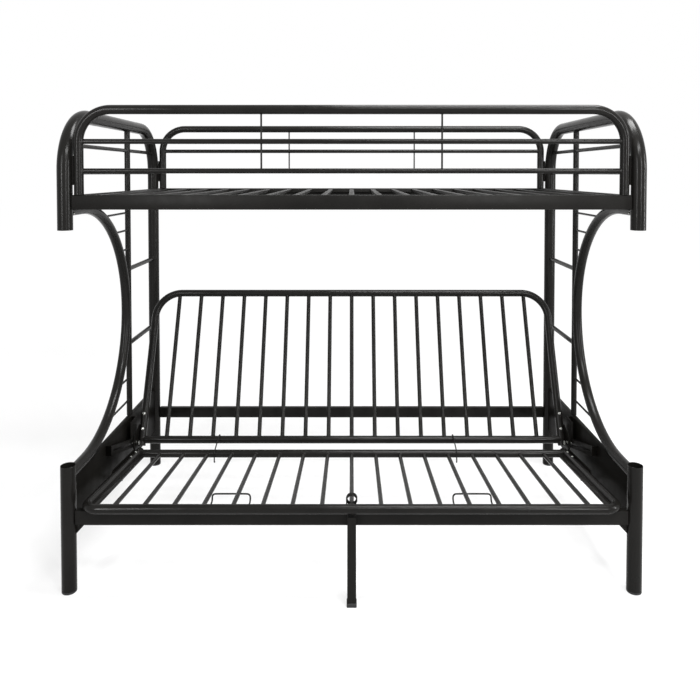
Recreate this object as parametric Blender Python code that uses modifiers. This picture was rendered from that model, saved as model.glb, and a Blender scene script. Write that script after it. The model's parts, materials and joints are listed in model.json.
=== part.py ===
"""Twin-over-futon bunk bed in welded steel tube.

X runs along the bed, the front is towards -Y and Z is up. The origin is on the floor, under the
middle of the bed's box. Two C-shaped end frames carry the upper deck and its guard rails. Between
them a futon seat and back hang on two pivot bolts, which run in slotted guide brackets: as the
bolts move forward the seat levels and the back folds down flat onto the lower rear rail.
"""

import math

import bmesh
import bpy
from mathutils import Matrix, Vector

# Clearance between pieces that touch, and how far a cut runs past a face
GAP = 0.0003
RUNNING_GAP = 0.001
OVERRUN = 0.002

# Overall frame: distances between post centres, and heights above the floor
POST_SPAN = 1.952
FRAME_DEPTH = 1.001
TOP_TUBE_HEIGHT = 1.650
POST_RADIUS = 0.0254
TUBE_WALL = 0.0015
HOOP_BEND_RADIUS = 0.195
HOOP_TAIL_DROP = 0.399
OPEN_END_DEPTH = 0.060
FOOT_HEIGHT = 0.008
FOOT_EDGE = 0.002
FRONT_LEG_HEIGHT = 0.441

# C-shaped tube between the front leg and the front end of the hoop
C_TUBE_RADIUS = 0.019
C_TUBE_LAP = 0.065
C_TUBE_BOTTOM = 0.404
C_TUBE_LEAD = 0.141

# Ladder at each end: rungs as shares of the way from the panel up to the deck, spokes by their
# rise over the C tube's lower end and drop from its upper end, guard bars by their drop from the hoop
LADDER_POST_RADIUS = 0.0125
LADDER_RUNG_RADIUS = 0.010
LADDER_RUNG_SHARES = (0.3366, 0.6857)
SPOKE_RADIUS = 0.0045
LOW_SPOKE_RISES = (0.050, 0.146)
HIGH_SPOKE_DROPS = (0.201, 0.118, 0.042)
END_GUARD_RADIUS = 0.008
END_GUARD_DROPS = (0.202, 0.107)

# Panel between the front leg and the rear post
PANEL_THICKNESS = 0.018
PANEL_BOTTOM = 0.182
PANEL_EDGE = 0.003

# Long rails, rectangular tube
RAIL_THICKNESS = 0.025
RAIL_HEIGHT = 0.050
RAIL_EDGE = 0.003
UPPER_RAIL_DROP = 0.2785
LOWER_RAIL_TOP = 0.287
GUSSET_LENGTH = 0.032
GUSSET_DROP = 0.035
GUSSET_THICKNESS = 0.003
GUSSET_HOLE_RADIUS = 0.0028
GUSSET_HOLE_INSET = 0.011
GUSSET_HOLE_DROP = 0.008

# Upper deck
DECK_SLAT_PITCH = 0.101
DECK_SLAT_WIDTH = 0.020
DECK_SLAT_HEIGHT = 0.010
DECK_SLAT_SINK = 0.004
DECK_STRIP_WIDTH = 0.020
DECK_STRIP_THICKNESS = 0.004
DECK_STRIP_LAP = 0.001

# Guard rails of the upper deck: the tube by its rise over the hoops, the bars by their drop from it
GUARD_TUBE_RADIUS = 0.016
GUARD_RISE = 0.011
GUARD_CORNER_RADIUS = 0.1095
GUARD_POST_GAP = 0.007
GUARD_BAR_RADIUS = 0.0095
GUARD_BAR_DROPS = (0.208, 0.108)
GUARD_WIRE_RADIUS = 0.00325
GUARD_WIRE_OFFSET = 0.307
WEB_THICKNESS = 0.004
WEB_RISE = 0.0335
WEB_HEIGHT = 0.100

# Middle leg under the lower front rail
MIDDLE_LEG_WIDTH = 0.030
MIDDLE_LEG_DEPTH = 0.030
MIDDLE_LEG_TOP = 0.281
MIDDLE_LEG_REACH = 0.090
MIDDLE_FOOT_WIDTH = 0.034
MIDDLE_FOOT_HEIGHT = 0.014
MIDDLE_FOOT_EDGE = 0.003

# Futon seat and back
FUTON_SIDE_SPACE = 0.042
BACK_SIDE_STEP = 0.009
FUTON_TUBE_RADIUS = 0.016
SEAT_SLAT_RADIUS = 0.008
BACK_SLAT_RADIUS = 0.009
FUTON_SLAT_PITCH = 0.1015
SEAT_SLOPE = math.radians(5.64)
SEAT_DEPTH = 0.5779
SEAT_NOSE = 0.0446
SEAT_CORNER_RADIUS = 0.050
SEAT_TAIL = 0.031
SEAT_STRIP_WIDTH = 0.024
SEAT_STRIP_THICKNESS = 0.005
SEAT_LIFT_UPRIGHT = 0.002
SEAT_LIFT_FLAT = 0.014
PIVOT_SETBACK = 0.0545
PIVOT_OFFSET = 0.0295
BACK_TILT = math.radians(22.8)
BACK_FOOT_RISE = 0.0122
BACK_HEIGHT = 0.6499
BACK_TAIL = 0.0255
BACK_CORNER_RADIUS = 0.115
BACK_REST_OVERLAP = 0.006

# Futon brackets and their bolts
PLATE_THICKNESS = 0.004
PIVOT_SHANK_RADIUS = 0.004
PIVOT_HEAD_RADIUS = 0.008
PIVOT_HEAD_HEIGHT = 0.006
SEAT_PLATE_EYE_RADIUS = 0.0115
SEAT_PLATE_LENGTH = 0.305
SEAT_PLATE_TOP_DROP = 0.0145
SEAT_PLATE_BOTTOM_DROP = 0.0555
SEAT_PLATE_NECK = 0.050
SEAT_PLATE_STEP = 0.0235
SEAT_PLATE_END_RADIUS = 0.010
BACK_PLATE_CAM_RADIUS = 0.034
BACK_PLATE_END_RADIUS = 0.014
BACK_PLATE_RISE = 0.062
LEVER_PIVOT_SETBACK = 0.250
LEVER_PIVOT_DROP = 0.0566
LEVER_KNEE_SETBACK = 0.165
LEVER_KNEE_DROP = 0.0957
LEVER_TIP_ANGLE = math.radians(-120.0)
LEVER_HALF_WIDTH = 0.0075
LEVER_PIN_RADIUS = 0.0035
LEVER_PIN_HEAD_RADIUS = 0.006
LEVER_PIN_HEAD_HEIGHT = 0.0025
LEVER_TAB_RADIUS = 0.012

# Guide bracket on the end panel
GUIDE_WEB_THICKNESS = 0.003
GUIDE_WEB_INSET = 0.020
GUIDE_MARGIN = 0.020
GUIDE_TOWER_WIDTH = 0.080
GUIDE_TOWER_TOP_DROP = 0.006
GUIDE_LEG_THICKNESS = 0.003

# Wire pieces
REST_WIRE_RADIUS = 0.00325
REST_INNER_OFFSET = 0.368
REST_WIDTH = 0.138
REST_DEPTH = 0.108
REST_ROOT_DROP = 0.032
REST_BEND_RADIUS = 0.012
HOOK_WIRE_RADIUS = 0.0028
HOOK_PLACES = (-0.580, 0.4435)
HOOK_TAIL_LENGTH = 0.026
HOOK_CURL_RADIUS = 0.006
KEEPER_WIRE_RADIUS = 0.002
KEEPER_COIL_RADIUS = 0.018
KEEPER_PITCH = 0.009
KEEPER_CURLS = 3
KEEPER_RISE = 0.0068
KEEPER_TAIL = 0.030

# Facets: sides round a tube and steps round a bend
BIG_TUBE_SIDES = 16
TUBE_SIDES = 12
ROD_SIDES = 8
WIRE_SIDES = 8
BEND_STEPS = 8
C_STEPS = 22
PLATE_ARC_STEPS = 8
COIL_STEPS = 10

BED = "futon_bunk_bed"
SIDES = {"left": -1, "right": 1}


# Places that follow from the driving sizes
HALF_SPAN = POST_SPAN / 2
REAR_REACH = FRAME_DEPTH + POST_RADIUS
FRONT_Y = (MIDDLE_LEG_REACH - REAR_REACH) / 2
REAR_Y = FRONT_Y + FRAME_DEPTH
RAIL_HALF_LENGTH = HALF_SPAN - POST_RADIUS - GAP
RAIL_HALF = RAIL_THICKNESS / 2
HOOP_TAIL_HEIGHT = TOP_TUBE_HEIGHT - HOOP_TAIL_DROP
UPPER_RAIL_TOP = TOP_TUBE_HEIGHT - UPPER_RAIL_DROP
GUARD_TOP = TOP_TUBE_HEIGHT + GUARD_RISE
C_TUBE_TOP = HOOP_TAIL_HEIGHT + C_TUBE_LAP
C_BEND_RADIUS = (C_TUBE_TOP - C_TUBE_BOTTOM) / 2
C_CENTRE_Y = FRONT_Y + C_TUBE_LEAD
C_CENTRE_Z = (C_TUBE_TOP + C_TUBE_BOTTOM) / 2
LADDER_Y = C_CENTRE_Y + C_BEND_RADIUS + C_TUBE_RADIUS + LADDER_POST_RADIUS + 2 * GAP
PANEL_TOP = C_TUBE_BOTTOM - C_TUBE_RADIUS - GAP
LADDER_SPAN = UPPER_RAIL_TOP - RAIL_HEIGHT - PANEL_TOP
PANEL_INNER_X = HALF_SPAN - PANEL_THICKNESS / 2
FUTON_OUTER_X = PANEL_INNER_X - FUTON_SIDE_SPACE
SEAT_TUBE_X = FUTON_OUTER_X - FUTON_TUBE_RADIUS
DECK_HALF_LENGTH = RAIL_HALF_LENGTH - RAIL_THICKNESS

# The pivot's place at rest, and where it ends with the bed flat
SEAT_REACH = SEAT_DEPTH + PIVOT_SETBACK
SEAT_FRONT_Y = FRONT_Y - SEAT_NOSE
RAIL_CONTACT_Z = (
    LOWER_RAIL_TOP + SEAT_LIFT_UPRIGHT + FUTON_TUBE_RADIUS / math.cos(SEAT_SLOPE)
)
SEAT_FRONT_Z = RAIL_CONTACT_Z + (SEAT_NOSE + RAIL_HALF) * math.tan(SEAT_SLOPE)
PIVOT_Y = (
    SEAT_FRONT_Y
    + SEAT_REACH * math.cos(SEAT_SLOPE)
    + PIVOT_OFFSET * math.sin(SEAT_SLOPE)
)
PIVOT_Z = (
    SEAT_FRONT_Z
    - SEAT_REACH * math.sin(SEAT_SLOPE)
    + PIVOT_OFFSET * math.cos(SEAT_SLOPE)
)
BACK_REACH = BACK_FOOT_RISE + BACK_HEIGHT
FLAT_PIVOT_Y = REAR_Y + BACK_REST_OVERLAP - BACK_REACH
FLAT_PIVOT_Z = LOWER_RAIL_TOP + SEAT_LIFT_FLAT + FUTON_TUBE_RADIUS + PIVOT_OFFSET

# Side tubes and plate layers, measured from the bed's middle: each plate lies on the outside
# of its own frame's side tube
BACK_TUBE_X = SEAT_TUBE_X + BACK_SIDE_STEP
SEAT_PLATE_X = FUTON_OUTER_X + GAP + PLATE_THICKNESS / 2
BACK_PLATE_X = BACK_TUBE_X + FUTON_TUBE_RADIUS + GAP + PLATE_THICKNESS / 2
GUIDE_WEB_X = PANEL_INNER_X - GUIDE_WEB_INSET - GUIDE_WEB_THICKNESS / 2


def new_collection(name):
    """Add an empty collection to the scene."""
    collection = bpy.data.collections.new(name)
    bpy.context.scene.collection.children.link(collection)
    return collection


def add_object(name, data, collection):
    """Add an object that holds the data to a collection."""
    piece = bpy.data.objects.new(name, data)
    collection.objects.link(piece)
    return piece


def paint(piece, colour, roughness, metallic):
    """Give a piece its own Principled material."""
    material = bpy.data.materials.new(piece.name + "_finish")
    material.use_nodes = True
    shader = material.node_tree.nodes["Principled BSDF"]
    shader.inputs["Base Color"].default_value = (*colour, 1.0)
    shader.inputs["Roughness"].default_value = roughness
    shader.inputs["Metallic"].default_value = metallic
    piece.data.materials.clear()
    piece.data.materials.append(material)
    return piece


def powder_coat(piece):
    """Black powder coat, satin."""
    return paint(piece, (0.022, 0.021, 0.020), 0.38, 0.0)


def zinc(piece):
    """Bright zinc plate, as on bolts."""
    return paint(piece, (0.62, 0.62, 0.60), 0.35, 1.0)


def nylon(piece):
    """Black nylon, as on the feet."""
    return paint(piece, (0.015, 0.015, 0.015), 0.55, 0.0)


def mesh_object(name, shape, collection):
    """Turn a bmesh into an object."""
    mesh = bpy.data.meshes.new(name)
    shape.to_mesh(mesh)
    shape.free()
    return add_object(name, mesh, collection)


def smooth(piece):
    """Shade round faces smooth and keep edges over 40 degrees sharp."""
    piece.data.shade_smooth()
    piece.data.set_sharp_from_angle(angle=math.radians(40.0))
    return piece


def box(name, low, high, collection, edge=0.0):
    """A box between two corners, with its edges rounded if a radius is given."""
    low = Vector(low)
    high = Vector(high)
    shape = bmesh.new()
    bmesh.ops.create_cube(shape, size=1.0)
    bmesh.ops.scale(shape, vec=high - low, verts=shape.verts)
    bmesh.ops.translate(shape, vec=(high + low) / 2, verts=shape.verts)
    piece = mesh_object(name, shape, collection)
    if edge > 0:
        rounding = piece.modifiers.new("rounding", "BEVEL")
        rounding.width = edge
        rounding.segments = 2
        rounding.limit_method = "ANGLE"
    return piece


def rod(name, start, end, radius, sides, collection):
    """A straight round bar between two points."""
    start = Vector(start)
    end = Vector(end)
    along = end - start
    shape = bmesh.new()
    bmesh.ops.create_cone(
        shape,
        cap_ends=True,
        segments=sides,
        radius1=radius,
        radius2=radius,
        depth=along.length,
    )
    half_facet = Matrix.Rotation(math.pi / sides, 4, "Z")
    turn = along.to_track_quat("Z", "Y").to_matrix().to_4x4() @ half_facet
    place = Matrix.Translation((start + end) / 2) @ turn
    bmesh.ops.transform(shape, matrix=place, verts=shape.verts)
    return smooth(mesh_object(name, shape, collection))


def bent_tube(name, points, radius, sides, collection):
    """A round tube along a line of points, made a closed mesh."""
    path = bpy.data.curves.new(name, "CURVE")
    path.dimensions = "3D"
    path.bevel_depth = radius
    path.bevel_resolution = (sides - 4) // 2
    path.use_fill_caps = True
    spline = path.splines.new("POLY")
    spline.points.add(len(points) - 1)
    for knot, point in zip(spline.points, points):
        knot.co = (*point, 1.0)
    guide = add_object(name + "_path", path, collection)
    evaluated = guide.evaluated_get(bpy.context.evaluated_depsgraph_get())
    mesh = bpy.data.meshes.new_from_object(evaluated)
    shape = bmesh.new()
    shape.from_mesh(mesh)
    bmesh.ops.remove_doubles(shape, verts=shape.verts, dist=GAP / 10)
    shape.to_mesh(mesh)
    shape.free()
    mesh.name = name
    piece = add_object(name, mesh, collection)
    piece.matrix_world = guide.matrix_world
    bpy.data.objects.remove(guide)
    return smooth(piece)


def plate(name, outlines, thickness, collection):
    """A flat plate whose outlines, holes included, lie in the local XY plane."""
    sheet = bpy.data.curves.new(name, "CURVE")
    sheet.dimensions = "2D"
    sheet.fill_mode = "BOTH"
    sheet.extrude = thickness / 2
    for outline in outlines:
        spline = sheet.splines.new("POLY")
        spline.points.add(len(outline) - 1)
        spline.use_cyclic_u = True
        for knot, point in zip(spline.points, outline):
            knot.co = (point[0], point[1], 0.0, 1.0)
    return add_object(name, sheet, collection)


def as_mesh(piece, collection):
    """Replace a plate's curve object by the closed mesh that it draws."""
    bpy.context.view_layer.update()
    evaluated = piece.evaluated_get(bpy.context.evaluated_depsgraph_get())
    mesh = bpy.data.meshes.new_from_object(evaluated)
    shape = bmesh.new()
    shape.from_mesh(mesh)
    bmesh.ops.remove_doubles(shape, verts=shape.verts, dist=GAP / 10)
    shape.to_mesh(mesh)
    shape.free()
    name = piece.name
    place = piece.matrix_world.copy()
    bpy.data.objects.remove(piece)
    mesh.name = name
    solid = add_object(name, mesh, collection)
    solid.matrix_world = place
    return solid


def side_plate(name, outlines, thickness, x, collection):
    """A plate that stands along the bed's depth: outline points are (y, z)."""
    piece = plate(name, outlines, thickness, collection)
    piece.location = (x, 0.0, 0.0)
    piece.rotation_euler = (math.pi / 2, 0.0, math.pi / 2)
    return as_mesh(piece, collection)


def turned_pin(name, steps, centre, side, sides, collection):
    """A pin turned about X. Steps are (distance from the middle of the bed, radius)."""
    shape = bmesh.new()
    ring = [(0.0, steps[0][0])]
    for start, end in zip(steps[:-1], steps[1:]):
        ring.append((start[1], start[0]))
        ring.append((start[1], end[0]))
    ring.append((0.0, steps[-1][0]))
    knots = [shape.verts.new((radius, 0.0, -along)) for radius, along in ring]
    for first, second in zip(knots[:-1], knots[1:]):
        shape.edges.new((first, second))
    piece = mesh_object(name, shape, collection)
    turning = piece.modifiers.new("turning", "SCREW")
    turning.steps = sides
    turning.render_steps = sides
    turning.use_merge_vertices = True
    turning.merge_threshold = GAP / 10
    piece.rotation_euler = (0.0, -side * math.pi / 2, 0.0)
    piece.location = centre
    return piece


def hide_tool(piece):
    """Mark a cutter or a joined shape as a construction aid."""
    piece.hide_render = True
    piece.display_type = "WIRE"
    return piece


def join_solid(piece, tool, operation, name):
    """Cut a piece by a tool, or weld the tool to it."""
    hide_tool(tool)
    change = piece.modifiers.new(name, "BOOLEAN")
    change.operation = operation
    change.solver = "EXACT"
    change.object = tool
    return piece


def weld_all(piece, tools, group_name):
    """Weld many bars, which may cross each other, to one piece."""
    group = new_collection(group_name)
    for tool in tools:
        hide_tool(tool)
        for owner in list(tool.users_collection):
            owner.objects.unlink(tool)
        group.objects.link(tool)
    change = piece.modifiers.new("welds", "BOOLEAN")
    change.operation = "UNION"
    change.solver = "EXACT"
    change.operand_type = "COLLECTION"
    change.collection = group
    return piece


def arc(centre, radius, start, end, steps):
    """Points on an arc in a plane, from one angle to another in radians."""
    points = []
    for step in range(steps + 1):
        angle = start + (end - start) * step / steps
        points.append(
            (
                centre[0] + radius * math.cos(angle),
                centre[1] + radius * math.sin(angle),
            )
        )
    return points


def circle(centre, radius, steps):
    """Points of a closed circle."""
    return arc(centre, radius, 0.0, 2 * math.pi, steps)[:-1]


def rounded_path(corners, radius, steps):
    """A line of 3D points whose inner corners are arcs of one radius."""
    corners = [Vector(corner) for corner in corners]
    points = [corners[0]]
    for before, corner, after in zip(corners[:-2], corners[1:-1], corners[2:]):
        inward = (before - corner).normalized()
        outward = (after - corner).normalized()
        half_angle = inward.angle(outward) / 2
        tangent = radius / math.tan(half_angle)
        bisector = (inward + outward).normalized()
        centre = corner + bisector * (radius / math.sin(half_angle))
        first = corner + inward * tangent - centre
        last = corner + outward * tangent - centre
        turn = first.angle(last)
        for step in range(steps + 1):
            share = step / steps
            swing = (
                first * math.sin((1 - share) * turn) + last * math.sin(share * turn)
            ) / math.sin(turn)
            points.append(centre + swing)
    points.append(corners[-1])
    return [tuple(point) for point in points]


def strap_outline(centres, half_width, steps):
    """Outline of a flat strap along a bent line, with round ends."""
    line = [Vector(centre) for centre in centres]
    headings = [(b - a).normalized() for a, b in zip(line[:-1], line[1:])]
    left_side = []
    right_side = []
    for place, before, after in zip(line[1:-1], headings[:-1], headings[1:]):
        normal = Vector((-before.y - after.y, before.x + after.x)).normalized()
        reach = half_width / normal.dot(Vector((-before.y, before.x)))
        left_side.append(tuple(place + normal * reach))
        right_side.append(tuple(place - normal * reach))
    first = math.atan2(headings[0].y, headings[0].x)
    last = math.atan2(headings[-1].y, headings[-1].x)
    quarter = math.pi / 2
    tail = arc(line[0], half_width, first + quarter, first + 3 * quarter, steps)
    nose = arc(line[-1], half_width, last - quarter, last + quarter, steps)
    return tail + right_side + nose + left_side[::-1]


def tapered_outline(centre_a, radius_a, centre_b, radius_b, steps):
    """Outline round two circles and the straight sides between them."""
    start = Vector(centre_a)
    end = Vector(centre_b)
    heading = end - start
    angle = math.atan2(heading.y, heading.x)
    lean = math.acos((radius_a - radius_b) / heading.length)
    around_b = arc(centre_b, radius_b, angle - lean, angle + lean, steps)
    around_a = arc(centre_a, radius_a, angle + lean, angle - lean + 2 * math.pi, steps)
    return around_b + around_a


def hoop_points(x):
    """Centre line of an end hoop, from its open front end to the rear foot."""
    corners = [
        (x, FRONT_Y, HOOP_TAIL_HEIGHT),
        (x, FRONT_Y, TOP_TUBE_HEIGHT),
        (x, REAR_Y, TOP_TUBE_HEIGHT),
        (x, REAR_Y, FOOT_HEIGHT + GAP),
    ]
    return rounded_path(corners, HOOP_BEND_RADIUS, BEND_STEPS)


def c_points(x):
    """Centre line of the C tube, from the hoop down to the front leg."""
    quarter = math.pi / 2
    bend = arc((C_CENTRE_Y, C_CENTRE_Z), C_BEND_RADIUS, quarter, -quarter, C_STEPS)
    points = [(x, FRONT_Y, C_TUBE_TOP)]
    points += [(x, y, z) for y, z in bend]
    points.append((x, FRONT_Y, C_TUBE_BOTTOM))
    return points


def hoop_front_y(height):
    """Where the hoop's front post lies at a height, its bend included."""
    above_bend = height - (TOP_TUBE_HEIGHT - HOOP_BEND_RADIUS)
    if above_bend <= 0:
        return FRONT_Y
    return FRONT_Y + HOOP_BEND_RADIUS - math.sqrt(HOOP_BEND_RADIUS**2 - above_bend**2)


def c_tube_y(height):
    """Where the C tube's centre line lies at a height."""
    rise = height - C_CENTRE_Z
    return C_CENTRE_Y + math.sqrt(C_BEND_RADIUS**2 - rise**2)


def spoke_heights():
    """Heights of the spokes between the C tube and the ladder post."""
    low = [C_TUBE_BOTTOM + rise for rise in LOW_SPOKE_RISES]
    high = [C_TUBE_TOP - drop for drop in HIGH_SPOKE_DROPS]
    return low + high


def make_hoop(side_name, x, bed, tools):
    """The big bent tube: front tail, top tube and rear post."""
    hoop = bent_tube(f"{side_name}_end_hoop", hoop_points(x), POST_RADIUS, BIG_TUBE_SIDES, bed)
    mouth = rod(
        f"{side_name}_hoop_mouth",
        (x, FRONT_Y, HOOP_TAIL_HEIGHT - OVERRUN),
        (x, FRONT_Y, HOOP_TAIL_HEIGHT + OPEN_END_DEPTH),
        POST_RADIUS - TUBE_WALL,
        BIG_TUBE_SIDES,
        tools,
    )
    join_solid(hoop, mouth, "DIFFERENCE", "open_end")
    return powder_coat(hoop)


def make_front_leg(side_name, x, bed, tools):
    """The short front leg, open at its top."""
    leg = rod(
        f"{side_name}_front_leg",
        (x, FRONT_Y, FOOT_HEIGHT + GAP),
        (x, FRONT_Y, FRONT_LEG_HEIGHT),
        POST_RADIUS,
        BIG_TUBE_SIDES,
        bed,
    )
    mouth = rod(
        f"{side_name}_leg_mouth",
        (x, FRONT_Y, FRONT_LEG_HEIGHT - OPEN_END_DEPTH),
        (x, FRONT_Y, FRONT_LEG_HEIGHT + OVERRUN),
        POST_RADIUS - TUBE_WALL,
        BIG_TUBE_SIDES,
        tools,
    )
    join_solid(leg, mouth, "DIFFERENCE", "open_end")
    return powder_coat(leg)


def make_foot(name, x, y, bed):
    """A nylon cap under a round post, with its lower edge rounded."""
    foot = rod(name, (x, y, 0.0), (x, y, FOOT_HEIGHT), POST_RADIUS, BIG_TUBE_SIDES, bed)
    rounding = foot.modifiers.new("rounding", "BEVEL")
    rounding.width = FOOT_EDGE
    rounding.segments = 1
    rounding.limit_method = "ANGLE"
    rounding.angle_limit = math.radians(60.0)
    return nylon(foot)


def make_end_tools(side_name, x, tools):
    """Slightly fat copies of the posts, which shape the ends of the bars that meet them."""
    hoop_tool = bent_tube(
        f"{side_name}_hoop_tool", hoop_points(x), POST_RADIUS + GAP, BIG_TUBE_SIDES, tools
    )
    leg_tool = rod(
        f"{side_name}_leg_tool",
        (x, FRONT_Y, FOOT_HEIGHT),
        (x, FRONT_Y, FRONT_LEG_HEIGHT + OVERRUN),
        POST_RADIUS + GAP,
        BIG_TUBE_SIDES,
        tools,
    )
    c_tool = bent_tube(
        f"{side_name}_c_tool", c_points(x), C_TUBE_RADIUS + GAP, TUBE_SIDES, tools
    )
    return hoop_tool, leg_tool, c_tool


def make_c_tube(side_name, x, hoop_tool, leg_tool, bed):
    """The C-shaped tube, its ends shaped to the hoop and to the front leg."""
    tube = bent_tube(f"{side_name}_c_tube", c_points(x), C_TUBE_RADIUS, TUBE_SIDES, bed)
    join_solid(tube, hoop_tool, "DIFFERENCE", "upper_saddle")
    join_solid(tube, leg_tool, "DIFFERENCE", "lower_saddle")
    return powder_coat(tube)


def make_ladder(side_name, x, hoop_tool, c_tool, bed, tools):
    """The ladder post with its short spokes to the C tube, and the two long rungs."""
    post = rod(
        f"{side_name}_ladder_post",
        (x, LADDER_Y, PANEL_TOP + GAP),
        (x, LADDER_Y, TOP_TUBE_HEIGHT),
        LADDER_POST_RADIUS,
        TUBE_SIDES,
        bed,
    )
    spokes = []
    for number, height in enumerate(spoke_heights()):
        spokes.append(
            rod(
                f"{side_name}_spoke_{number}",
                (x, c_tube_y(height), height),
                (x, LADDER_Y, height),
                SPOKE_RADIUS,
                ROD_SIDES,
                tools,
            )
        )
    weld_all(post, spokes, f"{side_name}_spokes")
    join_solid(post, hoop_tool, "DIFFERENCE", "top_saddle")
    join_solid(post, c_tool, "DIFFERENCE", "spoke_ends")
    for number, drop in enumerate(END_GUARD_DROPS):
        height = TOP_TUBE_HEIGHT - drop
        hole = rod(
            f"{side_name}_guard_hole_{number}",
            (x, hoop_front_y(height), height),
            (x, REAR_Y, height),
            END_GUARD_RADIUS + GAP,
            TUBE_SIDES,
            tools,
        )
        join_solid(post, hole, "DIFFERENCE", f"guard_hole_{number}")
    powder_coat(post)
    for place, share in zip(("lower", "upper"), LADDER_RUNG_SHARES):
        height = PANEL_TOP + share * LADDER_SPAN
        rung = rod(
            f"{side_name}_ladder_rung_{place}",
            (x, LADDER_Y + LADDER_POST_RADIUS + GAP, height),
            (x, REAR_Y - POST_RADIUS - GAP, height),
            LADDER_RUNG_RADIUS,
            TUBE_SIDES,
            bed,
        )
        powder_coat(rung)


def make_end_guards(side_name, x, hoop_tool, bed):
    """Two guard bars across the end, which pass through the ladder post."""
    for place, drop in zip(("lower", "upper"), END_GUARD_DROPS):
        height = TOP_TUBE_HEIGHT - drop
        bar = rod(
            f"{side_name}_end_guard_{place}",
            (x, hoop_front_y(height), height),
            (x, REAR_Y, height),
            END_GUARD_RADIUS,
            TUBE_SIDES,
            bed,
        )
        join_solid(bar, hoop_tool, "DIFFERENCE", "saddles")
        powder_coat(bar)


def make_end_panel(side_name, x, bed):
    """The deep side panel between the front leg and the rear post."""
    reach = POST_RADIUS + GAP
    panel = box(
        f"{side_name}_end_panel",
        (x - PANEL_THICKNESS / 2, FRONT_Y + reach, PANEL_BOTTOM),
        (x + PANEL_THICKNESS / 2, REAR_Y - reach, PANEL_TOP),
        bed,
        PANEL_EDGE,
    )
    return powder_coat(panel)


def make_rail(name, y, top, bed):
    """A long rectangular rail between two posts."""
    return box(
        name,
        (-RAIL_HALF_LENGTH, y - RAIL_HALF, top - RAIL_HEIGHT),
        (RAIL_HALF_LENGTH, y + RAIL_HALF, top),
        bed,
        RAIL_EDGE,
    )


def make_front_gussets(rail, tools):
    """Triangular gussets welded under the ends of the lower front rail."""
    rail_bottom = LOWER_RAIL_TOP - RAIL_HEIGHT
    gussets = []
    for side_name, side in SIDES.items():
        end = side * RAIL_HALF_LENGTH
        triangle = [
            (end, rail_bottom - GUSSET_DROP),
            (end, rail_bottom + RAIL_EDGE),
            (end - side * (GUSSET_LENGTH + RAIL_EDGE), rail_bottom + RAIL_EDGE),
        ]
        hole = circle(
            (end - side * GUSSET_HOLE_INSET, rail_bottom - GUSSET_HOLE_DROP),
            GUSSET_HOLE_RADIUS,
            ROD_SIDES,
        )
        gusset = plate(
            f"{side_name}_front_gusset", [triangle, hole], GUSSET_THICKNESS, tools
        )
        gusset.location = (0.0, FRONT_Y, 0.0)
        gusset.rotation_euler = (math.pi / 2, 0.0, 0.0)
        gussets.append(as_mesh(gusset, tools))
    weld_all(rail, gussets, "front_gussets")


def make_rails(bed, tools):
    """The four long rails and the two end rails of the deck."""
    powder_coat(make_rail("upper_front_rail", FRONT_Y, UPPER_RAIL_TOP, bed))
    powder_coat(make_rail("upper_rear_rail", REAR_Y, UPPER_RAIL_TOP, bed))
    powder_coat(make_rail("lower_rear_rail", REAR_Y, LOWER_RAIL_TOP, bed))
    front = make_rail("lower_front_rail", FRONT_Y, LOWER_RAIL_TOP, bed)
    make_front_gussets(front, tools)
    powder_coat(front)
    reach = RAIL_HALF + GAP
    for side_name, side in SIDES.items():
        inner = side * DECK_HALF_LENGTH
        outer = side * RAIL_HALF_LENGTH
        end_rail = box(
            f"{side_name}_deck_end_rail",
            (min(inner, outer), FRONT_Y + reach, UPPER_RAIL_TOP - RAIL_HEIGHT),
            (max(inner, outer), REAR_Y - reach, UPPER_RAIL_TOP),
            bed,
            RAIL_EDGE,
        )
        powder_coat(end_rail)


def slat_places(half_width, slat_half_width, pitch):
    """X places of slats at one pitch, as many as fit inside a half width."""
    count = int((half_width - slat_half_width) / pitch)
    return [number * pitch for number in range(-count, count + 1)]


def make_deck(bed, tools):
    """The deck slats, tied together by a flat strip under each end."""
    reach = RAIL_HALF + GAP
    slat_top = UPPER_RAIL_TOP - DECK_SLAT_SINK
    slat_bottom = slat_top - DECK_SLAT_HEIGHT
    strip_top = slat_bottom + DECK_STRIP_LAP
    half_length = DECK_HALF_LENGTH - GAP
    strips = {
        "deck_slats": FRONT_Y + reach,
        "deck_rear_strip": REAR_Y - reach - DECK_STRIP_WIDTH,
    }
    made = []
    for name, low_y in strips.items():
        made.append(
            box(
                name,
                (-half_length, low_y, strip_top - DECK_STRIP_THICKNESS),
                (half_length, low_y + DECK_STRIP_WIDTH, strip_top),
                tools if made else bed,
            )
        )
    deck, rear_strip = made
    slats = [rear_strip]
    half_slat = DECK_SLAT_WIDTH / 2
    places = slat_places(half_length, half_slat, DECK_SLAT_PITCH)
    for number, x in enumerate(places):
        slats.append(
            box(
                f"deck_slat_{number}",
                (x - half_slat, FRONT_Y + reach, slat_bottom),
                (x + half_slat, REAR_Y - reach, slat_top),
                tools,
            )
        )
    weld_all(deck, slats, "deck_slat_bars")
    return powder_coat(deck)


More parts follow.
